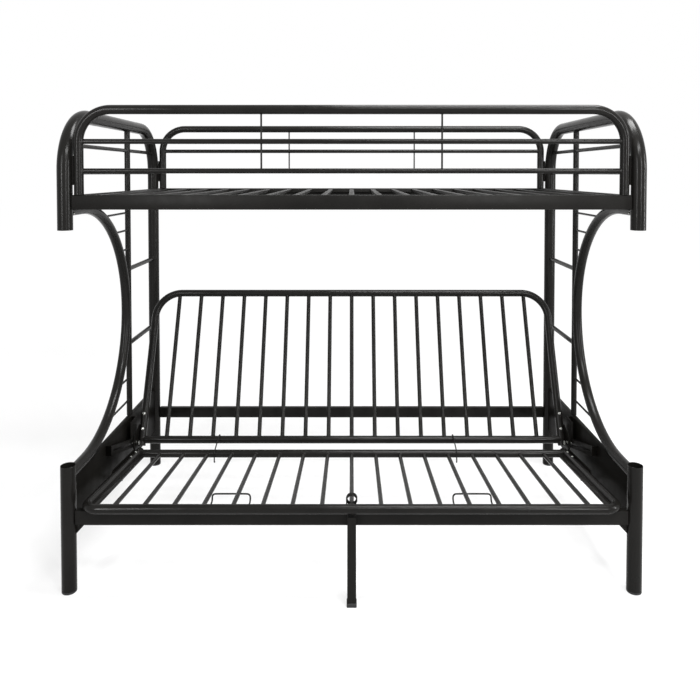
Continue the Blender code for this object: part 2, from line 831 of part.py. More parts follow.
def make_guard(end_name, y, bed, tools):
    """One long guard: a U tube on the rail, two bars, two upright wires and the end webs."""
    leg_x = HALF_SPAN - POST_RADIUS - GUARD_POST_GAP - GUARD_TUBE_RADIUS
    foot = UPPER_RAIL_TOP + GAP
    corners = [
        (-leg_x, y, foot),
        (-leg_x, y, GUARD_TOP),
        (leg_x, y, GUARD_TOP),
        (leg_x, y, foot),
    ]
    path = rounded_path(corners, GUARD_CORNER_RADIUS, BEND_STEPS)
    tube = bent_tube(f"{end_name}_guard_tube", path, GUARD_TUBE_RADIUS, TUBE_SIDES, bed)
    powder_coat(tube)

    saddle = bent_tube(
        f"{end_name}_guard_tool", path, GUARD_TUBE_RADIUS + GAP, TUBE_SIDES, tools
    )
    lower, upper = (GUARD_TOP - drop for drop in GUARD_BAR_DROPS)
    bars = rod(
        f"{end_name}_guard_bars",
        (-leg_x, y, lower),
        (leg_x, y, lower),
        GUARD_BAR_RADIUS,
        ROD_SIDES,
        bed,
    )
    upper_bar = rod(
        f"{end_name}_guard_upper_bar",
        (-leg_x, y, upper),
        (leg_x, y, upper),
        GUARD_BAR_RADIUS,
        ROD_SIDES,
        tools,
    )
    welded = [upper_bar]
    for side_name, side in SIDES.items():
        x = side * GUARD_WIRE_OFFSET
        welded.append(
            rod(
                f"{end_name}_{side_name}_guard_wire",
                (x, y, lower),
                (x, y, GUARD_TOP),
                GUARD_WIRE_RADIUS,
                WIRE_SIDES,
                tools,
            )
        )
    weld_all(bars, welded, f"{end_name}_guard_welds")
    join_solid(bars, saddle, "DIFFERENCE", "saddles")
    powder_coat(bars)

    web_bottom = UPPER_RAIL_TOP + WEB_RISE
    for side_name, side in SIDES.items():
        inner = side * (leg_x + GUARD_TUBE_RADIUS + GAP)
        outer = side * (HALF_SPAN - POST_RADIUS - GAP)
        web = box(
            f"{side_name}_{end_name}_guard_web",
            (min(inner, outer), y - WEB_THICKNESS / 2, web_bottom),
            (max(inner, outer), y + WEB_THICKNESS / 2, web_bottom + WEB_HEIGHT),
            bed,
        )
        powder_coat(web)


def make_middle_leg(bed, tools):
    """The middle leg: flat on the rail's face at its top, then bent forward to its foot."""
    rail_face = FRONT_Y - RAIL_HALF - GAP
    rail_bottom = LOWER_RAIL_TOP - RAIL_HEIGHT
    foot_back = FRONT_Y - MIDDLE_LEG_REACH + MIDDLE_FOOT_WIDTH
    foot_margin = (MIDDLE_FOOT_WIDTH - MIDDLE_LEG_DEPTH) / 2
    back_bottom = foot_back - foot_margin
    front_bottom = back_bottom - MIDDLE_LEG_DEPTH
    base = MIDDLE_FOOT_HEIGHT + GAP
    outline = [
        (rail_face, MIDDLE_LEG_TOP),
        (rail_face - MIDDLE_LEG_DEPTH, MIDDLE_LEG_TOP),
        (rail_face - MIDDLE_LEG_DEPTH, rail_bottom),
        (front_bottom, base),
        (back_bottom, base),
        (rail_face, rail_bottom),
    ]
    leg = side_plate("centre_leg", [outline], MIDDLE_LEG_WIDTH, 0.0, bed)
    powder_coat(leg)
    half_foot = MIDDLE_FOOT_WIDTH / 2
    foot = box(
        "centre_leg_foot",
        (-half_foot, FRONT_Y - MIDDLE_LEG_REACH, 0.0),
        (half_foot, foot_back, MIDDLE_FOOT_HEIGHT),
        bed,
        MIDDLE_FOOT_EDGE,
    )
    return nylon(foot)


def guide_direction():
    """Unit vector of the guide slot in the YZ plane, from the rest end to the flat end."""
    return Vector((FLAT_PIVOT_Y - PIVOT_Y, FLAT_PIVOT_Z - PIVOT_Z)).normalized()


def make_guide(side_name, side, bed, tools):
    """The slotted guide bracket: a web with two legs back to the end panel."""
    along = guide_direction()
    rest = Vector((PIVOT_Y, PIVOT_Z))
    flat = Vector((FLAT_PIVOT_Y, FLAT_PIVOT_Z))
    slot_half = PIVOT_SHANK_RADIUS + GAP
    slot = strap_outline([rest, flat], slot_half, PLATE_ARC_STEPS)
    tower_top = PANEL_TOP - GUIDE_TOWER_TOP_DROP
    rear_y = PIVOT_Y + GUIDE_TOWER_WIDTH / 2
    tower_front_y = rear_y - GUIDE_TOWER_WIDTH
    front_y = FLAT_PIVOT_Y - GUIDE_MARGIN - slot_half
    rise = along.y / along.x
    shoulder_z = FLAT_PIVOT_Z + GUIDE_MARGIN + (tower_front_y - FLAT_PIVOT_Y) * rise
    front_top_z = FLAT_PIVOT_Z + GUIDE_MARGIN + (front_y - FLAT_PIVOT_Y) * rise
    front_low_z = FLAT_PIVOT_Z - GUIDE_MARGIN + (front_y - FLAT_PIVOT_Y) * rise
    rear_low_z = PIVOT_Z - GUIDE_MARGIN
    outline = [
        (rear_y, rear_low_z),
        (rear_y, tower_top),
        (tower_front_y, tower_top),
        (tower_front_y, shoulder_z),
        (front_y, front_top_z),
        (front_y, front_low_z),
        (PIVOT_Y, rear_low_z),
    ]
    web_x = side * GUIDE_WEB_X
    bracket = side_plate(
        f"{side_name}_guide_bracket", [outline, slot], GUIDE_WEB_THICKNESS, web_x, bed
    )
    panel_x = side * (PANEL_INNER_X - GAP)
    legs = []
    leg_places = {
        "rear": (rear_y - GUIDE_LEG_THICKNESS - GAP, rear_low_z, tower_top),
        "front": (front_y + GAP, front_low_z, front_top_z),
    }
    for place, (low_y, low_z, high_z) in leg_places.items():
        legs.append(
            box(
                f"{side_name}_guide_leg_{place}",
                (min(web_x, panel_x), low_y, low_z + GAP),
                (max(web_x, panel_x), low_y + GUIDE_LEG_THICKNESS, high_z - GAP),
                tools,
            )
        )
    weld_all(bracket, legs, f"{side_name}_guide_legs")
    return powder_coat(bracket)


def slat_underside(y):
    """Lowest height that the seat slats reach above a place as the seat moves."""
    heights = []
    steps = 2 * BEND_STEPS
    for step in range(steps + 1):
        share = step / steps
        slope = SEAT_SLOPE * (1 - share)
        pivot_y = PIVOT_Y + (FLAT_PIVOT_Y - PIVOT_Y) * share
        pivot_z = PIVOT_Z + (FLAT_PIVOT_Z - PIVOT_Z) * share
        drop = (PIVOT_OFFSET + SEAT_SLAT_RADIUS) / math.cos(slope)
        heights.append(pivot_z + (pivot_y - y) * math.tan(slope) - drop)
    return min(heights)


def make_slat_rest(side_name, side, bed):
    """A U of wire behind the lower front rail, which carries the seat slats."""
    root_y = FRONT_Y + RAIL_HALF + GAP
    root_z = LOWER_RAIL_TOP - REST_ROOT_DROP
    rest_y = FRONT_Y + REST_DEPTH + RAIL_HALF
    top_z = slat_underside(rest_y) - RUNNING_GAP - REST_WIRE_RADIUS
    inner = side * REST_INNER_OFFSET
    outer = side * (REST_INNER_OFFSET + REST_WIDTH)
    corners = [
        (inner, root_y, root_z),
        (inner, rest_y, root_z),
        (inner, rest_y, top_z),
        (outer, rest_y, top_z),
        (outer, rest_y, root_z),
        (outer, root_y, root_z),
    ]
    path = rounded_path(corners, REST_BEND_RADIUS, PLATE_ARC_STEPS // 2)
    wire = bent_tube(f"{side_name}_slat_rest", path, REST_WIRE_RADIUS, WIRE_SIDES, bed)
    return powder_coat(wire)


def make_keeper_coil(bed):
    """The wire coil round the middle seat slat, with its tail down the rail's back face."""
    start_y = FRONT_Y + RAIL_HALF + GAP + KEEPER_WIRE_RADIUS
    middle_y = start_y + KEEPER_PITCH * KEEPER_CURLS / 2
    centre_z = slat_underside(middle_y) + SEAT_SLAT_RADIUS + KEEPER_RISE
    points = [
        (-KEEPER_COIL_RADIUS, start_y, centre_z - KEEPER_TAIL),
        (-KEEPER_COIL_RADIUS, start_y, centre_z - KEEPER_TAIL / 2),
    ]
    for step in range(KEEPER_CURLS * COIL_STEPS + 1):
        turn = 2 * math.pi * step / COIL_STEPS
        points.append(
            (
                -KEEPER_COIL_RADIUS * math.cos(turn),
                start_y + KEEPER_PITCH * step / COIL_STEPS,
                centre_z + KEEPER_COIL_RADIUS * math.sin(turn),
            )
        )
    curl = [Vector(point) for point in points[2:]]
    between_turns = min(
        (curl[step + COIL_STEPS] - curl[step]).length
        for step in range(len(curl) - COIL_STEPS)
    )
    clear = between_turns - 2 * KEEPER_WIRE_RADIUS
    print(f"keeper coil: least gap between turns {clear * 1000:.2f} mm")
    coil = bent_tube("slat_keeper_coil", points, KEEPER_WIRE_RADIUS, 6, bed)
    return powder_coat(coil)


def hinge_empty(name, angle, bed):
    """An empty on the pivot axis, turned as the piece that it carries."""
    empty = add_object(name, None, bed)
    empty.location = (0.0, PIVOT_Y, PIVOT_Z)
    empty.rotation_euler = (angle, 0.0, 0.0)
    return empty


def hang(piece, hinge):
    """Parent a piece whose mesh is written in the hinge's own axes."""
    piece.parent = hinge
    return piece


def bend_sag(x, tube_x, bend_radius):
    """How far a futon frame's corner bend has left its end tube's line at a place."""
    into_bend = max(0.0, abs(x) - (tube_x - bend_radius))
    return bend_radius - math.sqrt(bend_radius**2 - into_bend**2)


def make_seat(hinge, bed, tools):
    """Seat frame: a front tube bent back along both sides, a rear tube, strips and slats."""
    front = -SEAT_REACH
    rear = front + SEAT_DEPTH
    level = -PIVOT_OFFSET
    corners = [
        (-SEAT_TUBE_X, rear + SEAT_TAIL, level),
        (-SEAT_TUBE_X, front, level),
        (SEAT_TUBE_X, front, level),
        (SEAT_TUBE_X, rear + SEAT_TAIL, level),
    ]
    path = rounded_path(corners, SEAT_CORNER_RADIUS, BEND_STEPS)
    frame = bent_tube("seat_frame", path, FUTON_TUBE_RADIUS, TUBE_SIDES, bed)
    bars = [
        rod(
            "seat_rear_tube",
            (-SEAT_TUBE_X, rear, level),
            (SEAT_TUBE_X, rear, level),
            FUTON_TUBE_RADIUS,
            TUBE_SIDES,
            tools,
        )
    ]
    inner_half = SEAT_TUBE_X - FUTON_TUBE_RADIUS - SEAT_STRIP_WIDTH
    for side_name, side in SIDES.items():
        inner = side * inner_half
        outer = side * (SEAT_TUBE_X - FUTON_TUBE_RADIUS + OVERRUN)
        bars.append(
            box(
                f"{side_name}_seat_strip",
                (min(inner, outer), front, level - SEAT_STRIP_THICKNESS / 2),
                (max(inner, outer), rear, level + SEAT_STRIP_THICKNESS / 2),
                tools,
            )
        )
    places = slat_places(inner_half, SEAT_SLAT_RADIUS, FUTON_SLAT_PITCH)
    for number, x in enumerate(places):
        bars.append(
            rod(
                f"seat_slat_{number}",
                (x, front + bend_sag(x, SEAT_TUBE_X, SEAT_CORNER_RADIUS), level),
                (x, rear, level),
                SEAT_SLAT_RADIUS,
                ROD_SIDES,
                tools,
            )
        )
    for bar in bars:
        hang(bar, hinge)
    weld_all(frame, bars, "seat_bars")
    return powder_coat(hang(frame, hinge))


def make_back(hinge, bed, tools):
    """Back frame: a top tube bent down both sides, a lower tube and the slats."""
    low = BACK_FOOT_RISE
    high = BACK_REACH
    depth = PIVOT_OFFSET
    corners = [
        (-BACK_TUBE_X, depth, low - BACK_TAIL),
        (-BACK_TUBE_X, depth, high),
        (BACK_TUBE_X, depth, high),
        (BACK_TUBE_X, depth, low - BACK_TAIL),
    ]
    path = rounded_path(corners, BACK_CORNER_RADIUS, BEND_STEPS)
    frame = bent_tube("back_frame", path, FUTON_TUBE_RADIUS, TUBE_SIDES, bed)
    bars = [
        rod(
            "back_lower_tube",
            (-BACK_TUBE_X, depth, low),
            (BACK_TUBE_X, depth, low),
            FUTON_TUBE_RADIUS,
            TUBE_SIDES,
            tools,
        )
    ]
    inner_half = BACK_TUBE_X - FUTON_TUBE_RADIUS
    places = slat_places(inner_half, BACK_SLAT_RADIUS, FUTON_SLAT_PITCH)
    for number, x in enumerate(places):
        bars.append(
            rod(
                f"back_slat_{number}",
                (x, depth, low),
                (x, depth, high - bend_sag(x, BACK_TUBE_X, BACK_CORNER_RADIUS)),
                BACK_SLAT_RADIUS,
                ROD_SIDES,
                tools,
            )
        )
    for bar in bars:
        hang(bar, hinge)
    weld_all(frame, bars, "back_bars")
    return powder_coat(hang(frame, hinge))


def seat_plate_outline():
    """Outline of the seat bracket about the pivot, in the seat's own axes."""
    quarter = math.pi / 2
    eye_end = math.pi - quarter / 3
    top = -SEAT_PLATE_TOP_DROP
    bottom = -SEAT_PLATE_BOTTOM_DROP
    front = -SEAT_PLATE_LENGTH
    corner = SEAT_PLATE_END_RADIUS
    tab = (-LEVER_PIVOT_SETBACK, -LEVER_PIVOT_DROP)
    tube_bottom = -PIVOT_OFFSET - FUTON_TUBE_RADIUS
    drop = tube_bottom - tab[1]
    spread = math.sqrt(LEVER_TAB_RADIUS**2 - (bottom - tab[1]) ** 2)
    tab_start = math.atan2(bottom - tab[1], -spread)
    tab_end = math.atan2(bottom - tab[1], spread)
    if tab_start > 0:
        tab_start -= 2 * math.pi
    if tab_end > 0:
        tab_end -= 2 * math.pi * (tab_end > math.pi / 2)
    outline = arc((0.0, 0.0), SEAT_PLATE_EYE_RADIUS, -quarter, eye_end, PLATE_ARC_STEPS)
    outline.append((-SEAT_PLATE_NECK, top))
    outline += arc((front + corner, top - corner), corner, quarter, 2 * quarter, 3)
    outline += arc((front + corner, bottom + corner), corner, 2 * quarter, 3 * quarter, 3)
    outline += arc(tab, LEVER_TAB_RADIUS, tab_start, tab_end, PLATE_ARC_STEPS)
    outline.append((-SEAT_PLATE_NECK - drop, bottom))
    outline.append((-SEAT_PLATE_STEP, -SEAT_PLATE_EYE_RADIUS))
    return outline


def make_seat_plate(side_name, side, hinge, bed):
    """The bracket on the outside of the seat's side tube, with the pivot and lever holes."""
    pivot_hole = circle((0.0, 0.0), PIVOT_SHANK_RADIUS + GAP, TUBE_SIDES)
    lever_hole = circle(
        (-LEVER_PIVOT_SETBACK, -LEVER_PIVOT_DROP), LEVER_PIN_RADIUS + GAP, TUBE_SIDES
    )
    outlines = [seat_plate_outline(), pivot_hole, lever_hole]
    bracket = side_plate(
        f"{side_name}_seat_bracket", outlines, PLATE_THICKNESS, side * SEAT_PLATE_X, bed
    )
    return powder_coat(hang(bracket, hinge))


def make_back_plate(side_name, side, hinge, bed):
    """The bracket on the outside of the back's side tube, with the pivot hole."""
    outline = tapered_outline(
        (0.0, 0.0),
        BACK_PLATE_CAM_RADIUS,
        (PIVOT_OFFSET, BACK_PLATE_RISE),
        BACK_PLATE_END_RADIUS,
        PLATE_ARC_STEPS,
    )
    pivot_hole = circle((0.0, 0.0), PIVOT_SHANK_RADIUS + GAP, TUBE_SIDES)
    bracket = side_plate(
        f"{side_name}_back_bracket",
        [outline, pivot_hole],
        PLATE_THICKNESS,
        side * BACK_PLATE_X,
        bed,
    )
    return powder_coat(hang(bracket, hinge))


def make_pivot_bolt(side_name, side, bed):
    """The pivot bolt: head, shank, a collar after each plate, slot shank and nut."""
    head_end = SEAT_PLATE_X - PLATE_THICKNESS / 2 - GAP
    spacer_start = SEAT_PLATE_X + PLATE_THICKNESS / 2 + GAP
    spacer_end = BACK_PLATE_X - PLATE_THICKNESS / 2 - GAP
    collar_start = BACK_PLATE_X + PLATE_THICKNESS / 2 + GAP
    collar_end = GUIDE_WEB_X - GUIDE_WEB_THICKNESS / 2 - GAP
    nut_start = GUIDE_WEB_X + GUIDE_WEB_THICKNESS / 2 + GAP
    steps = [
        (head_end - PIVOT_HEAD_HEIGHT, PIVOT_HEAD_RADIUS),
        (head_end, PIVOT_SHANK_RADIUS),
        (spacer_start, PIVOT_HEAD_RADIUS),
        (spacer_end, PIVOT_SHANK_RADIUS),
        (collar_start, PIVOT_HEAD_RADIUS),
        (collar_end, PIVOT_SHANK_RADIUS),
        (nut_start, PIVOT_HEAD_RADIUS),
        (nut_start + PIVOT_HEAD_HEIGHT, 0.0),
    ]
    centre = (0.0, PIVOT_Y, PIVOT_Z)
    bolt = turned_pin(f"{side_name}_pivot_bolt", steps, centre, side, TUBE_SIDES, bed)
    return zinc(bolt)


def make_lever(side_name, side, hinge, bed, tools):
    """The bent lock lever under the seat tube, with the rivet that carries it."""
    pivot = Vector((-LEVER_PIVOT_SETBACK, -LEVER_PIVOT_DROP))
    knee = Vector((-LEVER_KNEE_SETBACK, -LEVER_KNEE_DROP))
    tip_reach = BACK_PLATE_CAM_RADIUS + LEVER_HALF_WIDTH + GAP
    tip = Vector((math.cos(LEVER_TIP_ANGLE), math.sin(LEVER_TIP_ANGLE))) * tip_reach
    outline = strap_outline([pivot, knee, tip], LEVER_HALF_WIDTH, PLATE_ARC_STEPS)
    lever = side_plate(
        f"{side_name}_lock_lever", [outline], PLATE_THICKNESS, side * BACK_PLATE_X, bed
    )
    inner_face = SEAT_PLATE_X - PLATE_THICKNESS / 2 - GAP
    rivet_steps = [
        (inner_face - LEVER_PIN_HEAD_HEIGHT, LEVER_PIN_HEAD_RADIUS),
        (inner_face, LEVER_PIN_RADIUS),
        (BACK_PLATE_X, 0.0),
    ]
    rivet = turned_pin(
        f"{side_name}_lever_rivet", rivet_steps, (0.0, *pivot), side, TUBE_SIDES, tools
    )
    hang(rivet, hinge)
    join_solid(lever, rivet, "UNION", "rivet")
    return powder_coat(hang(lever, hinge))


def make_tie_hook(side_name, x, hinge, bed):
    """A wire hook from over the back's lower tube, round the seat's rear tube, to a curl."""
    swing = SEAT_SLOPE - BACK_TILT
    offset = Matrix.Rotation(swing, 2) @ Vector((PIVOT_OFFSET, BACK_FOOT_RISE))
    upper_radius = FUTON_TUBE_RADIUS + HOOK_WIRE_RADIUS + RUNNING_GAP
    lower_radius = FUTON_TUBE_RADIUS + HOOK_WIRE_RADIUS + GAP
    rear_tube = Vector((SEAT_DEPTH - SEAT_REACH, -PIVOT_OFFSET))
    quarter = math.pi / 2
    span = rear_tube - offset
    heading = math.atan2(span.y, span.x)
    lean = math.asin((upper_radius - lower_radius) / span.length)
    leave = heading - quarter + lean + 2 * math.pi
    over_top = arc(offset, upper_radius, leave - quarter, leave, PLATE_ARC_STEPS)
    round_front = arc(rear_tube, lower_radius, leave, 2 * quarter, PLATE_ARC_STEPS // 2)
    end_y, end_z = round_front[-1]
    curl = arc(
        (end_y + HOOK_CURL_RADIUS, end_z - HOOK_TAIL_LENGTH),
        HOOK_CURL_RADIUS,
        2 * quarter,
        4 * quarter - quarter / 2,
        PLATE_ARC_STEPS // 2,
    )
    points = [(x, y, z) for y, z in over_top + round_front + curl]
    hook = bent_tube(f"{side_name}_tie_hook", points, HOOK_WIRE_RADIUS, WIRE_SIDES, bed)
    return powder_coat(hang(hook, hinge))


def clear_scene():
    """Remove every object of the opened scene."""
    for old in list(bpy.data.objects):
        bpy.data.objects.remove(old)


def build():
    """Make the whole bed."""
    clear_scene()
    bed = new_collection(BED)
    tools = new_collection("construction_tools")
    for side_name, side in SIDES.items():
        x = side * HALF_SPAN
        hoop_tool, leg_tool, c_tool = make_end_tools(side_name, x, tools)
        make_hoop(side_name, x, bed, tools)
        make_front_leg(side_name, x, bed, tools)
        make_foot(f"{side_name}_front_foot", x, FRONT_Y, bed)
        make_foot(f"{side_name}_rear_foot", x, REAR_Y, bed)
        make_c_tube(side_name, x, hoop_tool, leg_tool, bed)
        make_ladder(side_name, x, hoop_tool, c_tool, bed, tools)
        make_end_guards(side_name, x, hoop_tool, bed)
        make_end_panel(side_name, x, bed)
        make_guide(side_name, side, bed, tools)
        make_slat_rest(side_name, side, bed)
    make_rails(bed, tools)
    make_deck(bed, tools)
    make_guard("front", FRONT_Y, bed, tools)
    make_guard("rear", REAR_Y, bed, tools)
    make_middle_leg(bed, tools)
    make_keeper_coil(bed)

    seat_hinge = hinge_empty("seat_hinge", -SEAT_SLOPE, bed)
    back_hinge = hinge_empty("back_hinge", -BACK_TILT, bed)
    make_seat(seat_hinge, bed, tools)
    make_back(back_hinge, bed, tools)
    for side_name, side in SIDES.items():
        make_seat_plate(side_name, side, seat_hinge, bed)
        make_back_plate(side_name, side, back_hinge, bed)
        make_pivot_bolt(side_name, side, bed)
        make_lever(side_name, side, seat_hinge, bed, tools)
    for side_name, x in zip(SIDES, HOOK_PLACES):
        make_tie_hook(side_name, x, seat_hinge, bed)
    bpy.context.view_layer.update()


build()
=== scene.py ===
"""Looks of a twin-over-futon bunk bed in black powder-coated steel tube.

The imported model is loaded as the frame, in metres, with X along the bed, the front towards -Y and
Z up. Each operator finishes one group of its pieces: round tubes are bent again with smooth walls,
plates and rails get eased edges, and weld beads, bolts and tube plugs are added where the real bed
has them. The last operator sets up the floor, the lamps and the camera.
"""

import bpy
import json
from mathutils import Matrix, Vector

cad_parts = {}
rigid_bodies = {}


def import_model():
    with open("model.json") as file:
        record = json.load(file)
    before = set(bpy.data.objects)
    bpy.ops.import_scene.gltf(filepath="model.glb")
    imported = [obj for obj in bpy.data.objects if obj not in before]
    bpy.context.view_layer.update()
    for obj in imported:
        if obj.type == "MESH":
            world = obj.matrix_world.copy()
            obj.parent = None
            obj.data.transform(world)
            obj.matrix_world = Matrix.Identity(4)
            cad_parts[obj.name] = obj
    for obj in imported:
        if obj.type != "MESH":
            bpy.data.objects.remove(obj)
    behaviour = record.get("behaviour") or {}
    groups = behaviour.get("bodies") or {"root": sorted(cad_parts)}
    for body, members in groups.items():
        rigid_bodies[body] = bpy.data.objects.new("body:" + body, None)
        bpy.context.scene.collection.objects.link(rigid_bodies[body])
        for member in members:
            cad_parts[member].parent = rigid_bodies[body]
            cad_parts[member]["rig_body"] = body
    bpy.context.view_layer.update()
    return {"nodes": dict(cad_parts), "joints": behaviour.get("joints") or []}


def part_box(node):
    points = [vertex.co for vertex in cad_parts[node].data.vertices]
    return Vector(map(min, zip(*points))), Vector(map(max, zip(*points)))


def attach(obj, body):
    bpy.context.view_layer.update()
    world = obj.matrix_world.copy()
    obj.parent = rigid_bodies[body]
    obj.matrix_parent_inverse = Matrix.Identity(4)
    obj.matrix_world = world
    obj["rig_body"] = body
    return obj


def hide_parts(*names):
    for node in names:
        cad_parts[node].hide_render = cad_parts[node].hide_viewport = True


bl_info = {
    "name": "Futon Bunk Bed",
    "version": (1, 0, 0),
    "blender": (4, 5, 0),
    "location": "View3D > Sidebar > Bunk Bed",
    "description": "Finishes a black steel bunk bed with a futon that folds flat",
    "category": "Add Mesh",
}

import json
import math

import bmesh
import bpy
from mathutils import Matrix, Vector

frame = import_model()

SIDES = {"left": -1, "right": 1}
ALONG = Vector((1.0, 0.0, 0.0))
REARWARD = Vector((0.0, 1.0, 0.0))
UP = Vector((0.0, 0.0, 1.0))
QUARTER = math.pi / 2

# Sides round a tube, and steps round its bends
POST_SIDES = 40
TUBE_SIDES = 28
BAR_SIDES = 20
WIRE_SIDES = 12
WELD_SIDES = 6
BEND_STEPS = 20
C_BEND_STEPS = 56
COIL_STEPS = 56
COIL_TURNS = 3
WELD_STEPS = 16
TURNED_STEPS = 24

# Corners nearer than this are one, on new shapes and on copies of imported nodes
MERGE_DISTANCE = 1e-6
COPY_MERGE_DISTANCE = 1e-5
# Edges sharper than this stay edges, and are eased
SHARP_ANGLE = math.radians(38.0)


def low(node):
    """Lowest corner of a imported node."""
    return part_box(node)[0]


def high(node):
    """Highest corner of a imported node."""
    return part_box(node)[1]


def middle(node):
    """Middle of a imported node's box."""
    return (low(node) + high(node)) / 2


def half_size(node):
    """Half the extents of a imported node's box."""
    return (high(node) - low(node)) / 2


# Places read from the frame
POST_RADIUS = half_size("left_end_hoop").x
POST_X = middle("right_end_hoop").x
FRONT_Y = low("left_end_hoop").y + POST_RADIUS
REAR_Y = high("left_end_hoop").y - POST_RADIUS
HOOP_TOP = high("left_end_hoop").z - POST_RADIUS
FOOT_TOP = low("left_end_hoop").z
LEG_TOP = high("left_front_leg").z
C_RADIUS = half_size("left_c_tube").x
C_TOP = high("left_c_tube").z - C_RADIUS
C_BOTTOM = low("left_c_tube").z + C_RADIUS
C_BEND = (C_TOP - C_BOTTOM) / 2
C_LEAD = high("left_c_tube").y - C_RADIUS - C_BEND - FRONT_Y
LADDER_RADIUS = half_size("left_ladder_post").x
LADDER_Y = high("left_ladder_post").y - LADDER_RADIUS
LADDER_FOOT = low("left_ladder_post").z
RUNG_RADIUS = half_size("left_ladder_rung_lower").x
END_GUARD_RADIUS = half_size("left_end_guard_lower").x
GUARD_RADIUS = half_size("front_guard_tube").y
GUARD_X = high("front_guard_tube").x - GUARD_RADIUS
GUARD_TOP = high("front_guard_tube").z - GUARD_RADIUS
GUARD_FOOT = low("front_guard_tube").z
GUARD_BAR_RADIUS = half_size("front_guard_bars").y
GUARD_LOW_BAR = low("front_guard_bars").z + GUARD_BAR_RADIUS
PIVOT = Vector(
    next(joint["pos_m"] for joint in frame["joints"] if joint["name"] == "back_recline")
)
BACK_TUBE_X = high("back_frame").x
SEAT_TUBE_X = high("seat_frame").x


def length(label, about, default):
    """A length setting of the sidebar."""
    return bpy.props.FloatProperty(
        name=label, description=about, default=default, unit="LENGTH", precision=4
    )


def angle(label, about, degrees):
    """An angle setting of the sidebar."""
    return bpy.props.FloatProperty(
        name=label, description=about, default=math.radians(degrees), unit="ROTATION"
    )


def colour(label, about, default):
    """A colour setting of the sidebar."""
    return bpy.props.FloatVectorProperty(
        name=label, description=about, default=default, subtype="COLOR", min=0.0, max=1.0
    )


class BedFrameSizes(bpy.types.PropertyGroup):
    """Sizes of the fixed frame that its box doesn't give."""

    wall: length("Tube wall", "Wall seen at the open tube ends", 0.0015)
    hoop_bend: length("Hoop bend", "Bend radius of the end hoops", 0.195)
    hoop_tail: length("Hoop tail", "Drop from the hoop's top to its open end", 0.399)
    mouth_depth: length("Mouth depth", "Depth to which open tube ends are hollow", 0.058)
    spoke_radius: length("Spoke radius", "Radius of the short spokes", 0.0045)
    guard_bend: length("Guard bend", "Bend radius of the long guard tubes", 0.1095)
    guard_bar_pitch: length("Guard bar pitch", "Distance between the guard bars", 0.100)
    guard_wire_radius: length("Guard wire radius", "Radius of the upright wires", 0.00325)
    guard_wire_offset: length("Guard wire offset", "Wires' distance from the middle", 0.307)
    plate_edge: length("Plate edge", "Eased edge of plates and brackets", 0.0006)
    leg_edge: length("Leg edge", "Eased edge of the middle leg", 0.0022)


class BedFutonSizes(bpy.types.PropertyGroup):
    """Sizes of the folding seat and back, in their own planes."""

    tube_radius: length("Tube radius", "Radius of the futon's tubes", 0.016)
    seat_slat: length("Seat slat radius", "Radius of the seat's slats", 0.008)
    back_slat: length("Back slat radius", "Radius of the back's slats", 0.009)
    slat_pitch: length("Slat pitch", "Distance between the futon's slats", 0.1015)
    offset: length("Pivot offset", "Distance from the pivot to each plane", 0.0295)
    seat_slope: angle("Seat slope", "Slope of the seat down to the rear", 5.64)
    seat_front: length("Seat front", "Pivot to the seat's front tube", 0.6324)
    seat_rear: length("Seat rear", "Pivot to the seat's rear tube", 0.0545)
    seat_tail: length("Seat tail", "Side tubes' run past the rear tube", 0.031)
    seat_bend: length("Seat bend", "Bend radius of the seat's front corners", 0.050)
    strip_width: length("Strip width", "Width of the flat strips along the seat", 0.024)
    strip_height: length("Strip height", "Thickness of those strips", 0.005)
    back_tilt: angle("Back tilt", "Lean of the raised back", 22.8)
    back_low: length("Back low", "Pivot to the back's lower tube", 0.0122)
    back_high: length("Back high", "Pivot to the back's top tube", 0.6621)
    back_tail: length("Back tail", "Side tubes' run past the lower tube", 0.0255)
    back_bend: length("Back bend", "Bend radius of the back's top corners", 0.115)


class BedDetailSizes(bpy.types.PropertyGroup):
    """Sizes of the welds, bolts and plugs."""

    bead: length("Weld bead", "Radius of a weld bead", 0.0013)
    bolt_radius: length("Bolt head radius", "Radius of a bolt's domed head", 0.0046)
    bolt_height: length("Bolt head height", "Height of a bolt's domed head", 0.0024)
    washer_radius: length("Washer radius", "Radius of the washers", 0.0058)
    washer_height: length("Washer height", "Thickness of the washers", 0.0012)
    plug_lip: length("Plug lip", "Height of a tube plug's lip", 0.0016)
    coil_wire: length("Coil wire", "Radius of the keeper coil's wire", 0.002)
    coil_pitch: length("Coil pitch", "The keeper coil's advance in one turn", 0.009)
    coil_tail: length("Coil tail", "Straight end of the keeper coil", 0.030)


class BedColours(bpy.types.PropertyGroup):
    """Colours of the finishes."""

    coat: colour("Powder coat", "Black powder coat of the tubes", (0.0052, 0.0049, 0.0045))
    coat_pale: colour("Powder coat, pale", "Where the coat looks paler", (0.0076, 0.0072, 0.0066))
    # Painted shade: panel and panel_pale are the black powder coat made darker, for the end panels
    # and for the flat guides, webs, brackets and levers
    panel: colour("Panel", "The deeper black of the end panels", (0.0040, 0.0037, 0.0032))
    panel_pale: colour("Panel, pale", "Where the panels look paler", (0.0056, 0.0052, 0.0046))
    zinc: colour("Zinc", "Plated bolts", (0.30, 0.30, 0.285))
    nylon: colour("Nylon", "Feet and tube plugs", (0.014, 0.014, 0.014))
    floor: colour("Floor", "Pale studio floor", (0.86, 0.86, 0.86))


class BedStage(bpy.types.PropertyGroup):
    """The camera of the photograph's view."""

    camera_height: length("Camera height", "Height of the camera", 1.4447)
    camera_distance: length("Camera distance", "From the camera to the front posts", 2.244)
    camera_tilt: angle("Camera tilt", "How far the camera looks down", 1.57)
    camera_lens: bpy.props.FloatProperty(
        name="Lens", description="Focal length on a 36 mm sensor", default=33.94, unit="CAMERA"
    )
    shift_x: bpy.props.FloatProperty(
        name="Shift X", description="Sideways shift of the frame", default=-0.0024
    )
    shift_y: bpy.props.FloatProperty(
        name="Shift Y", description="Upward shift of the frame", default=-0.2265
    )


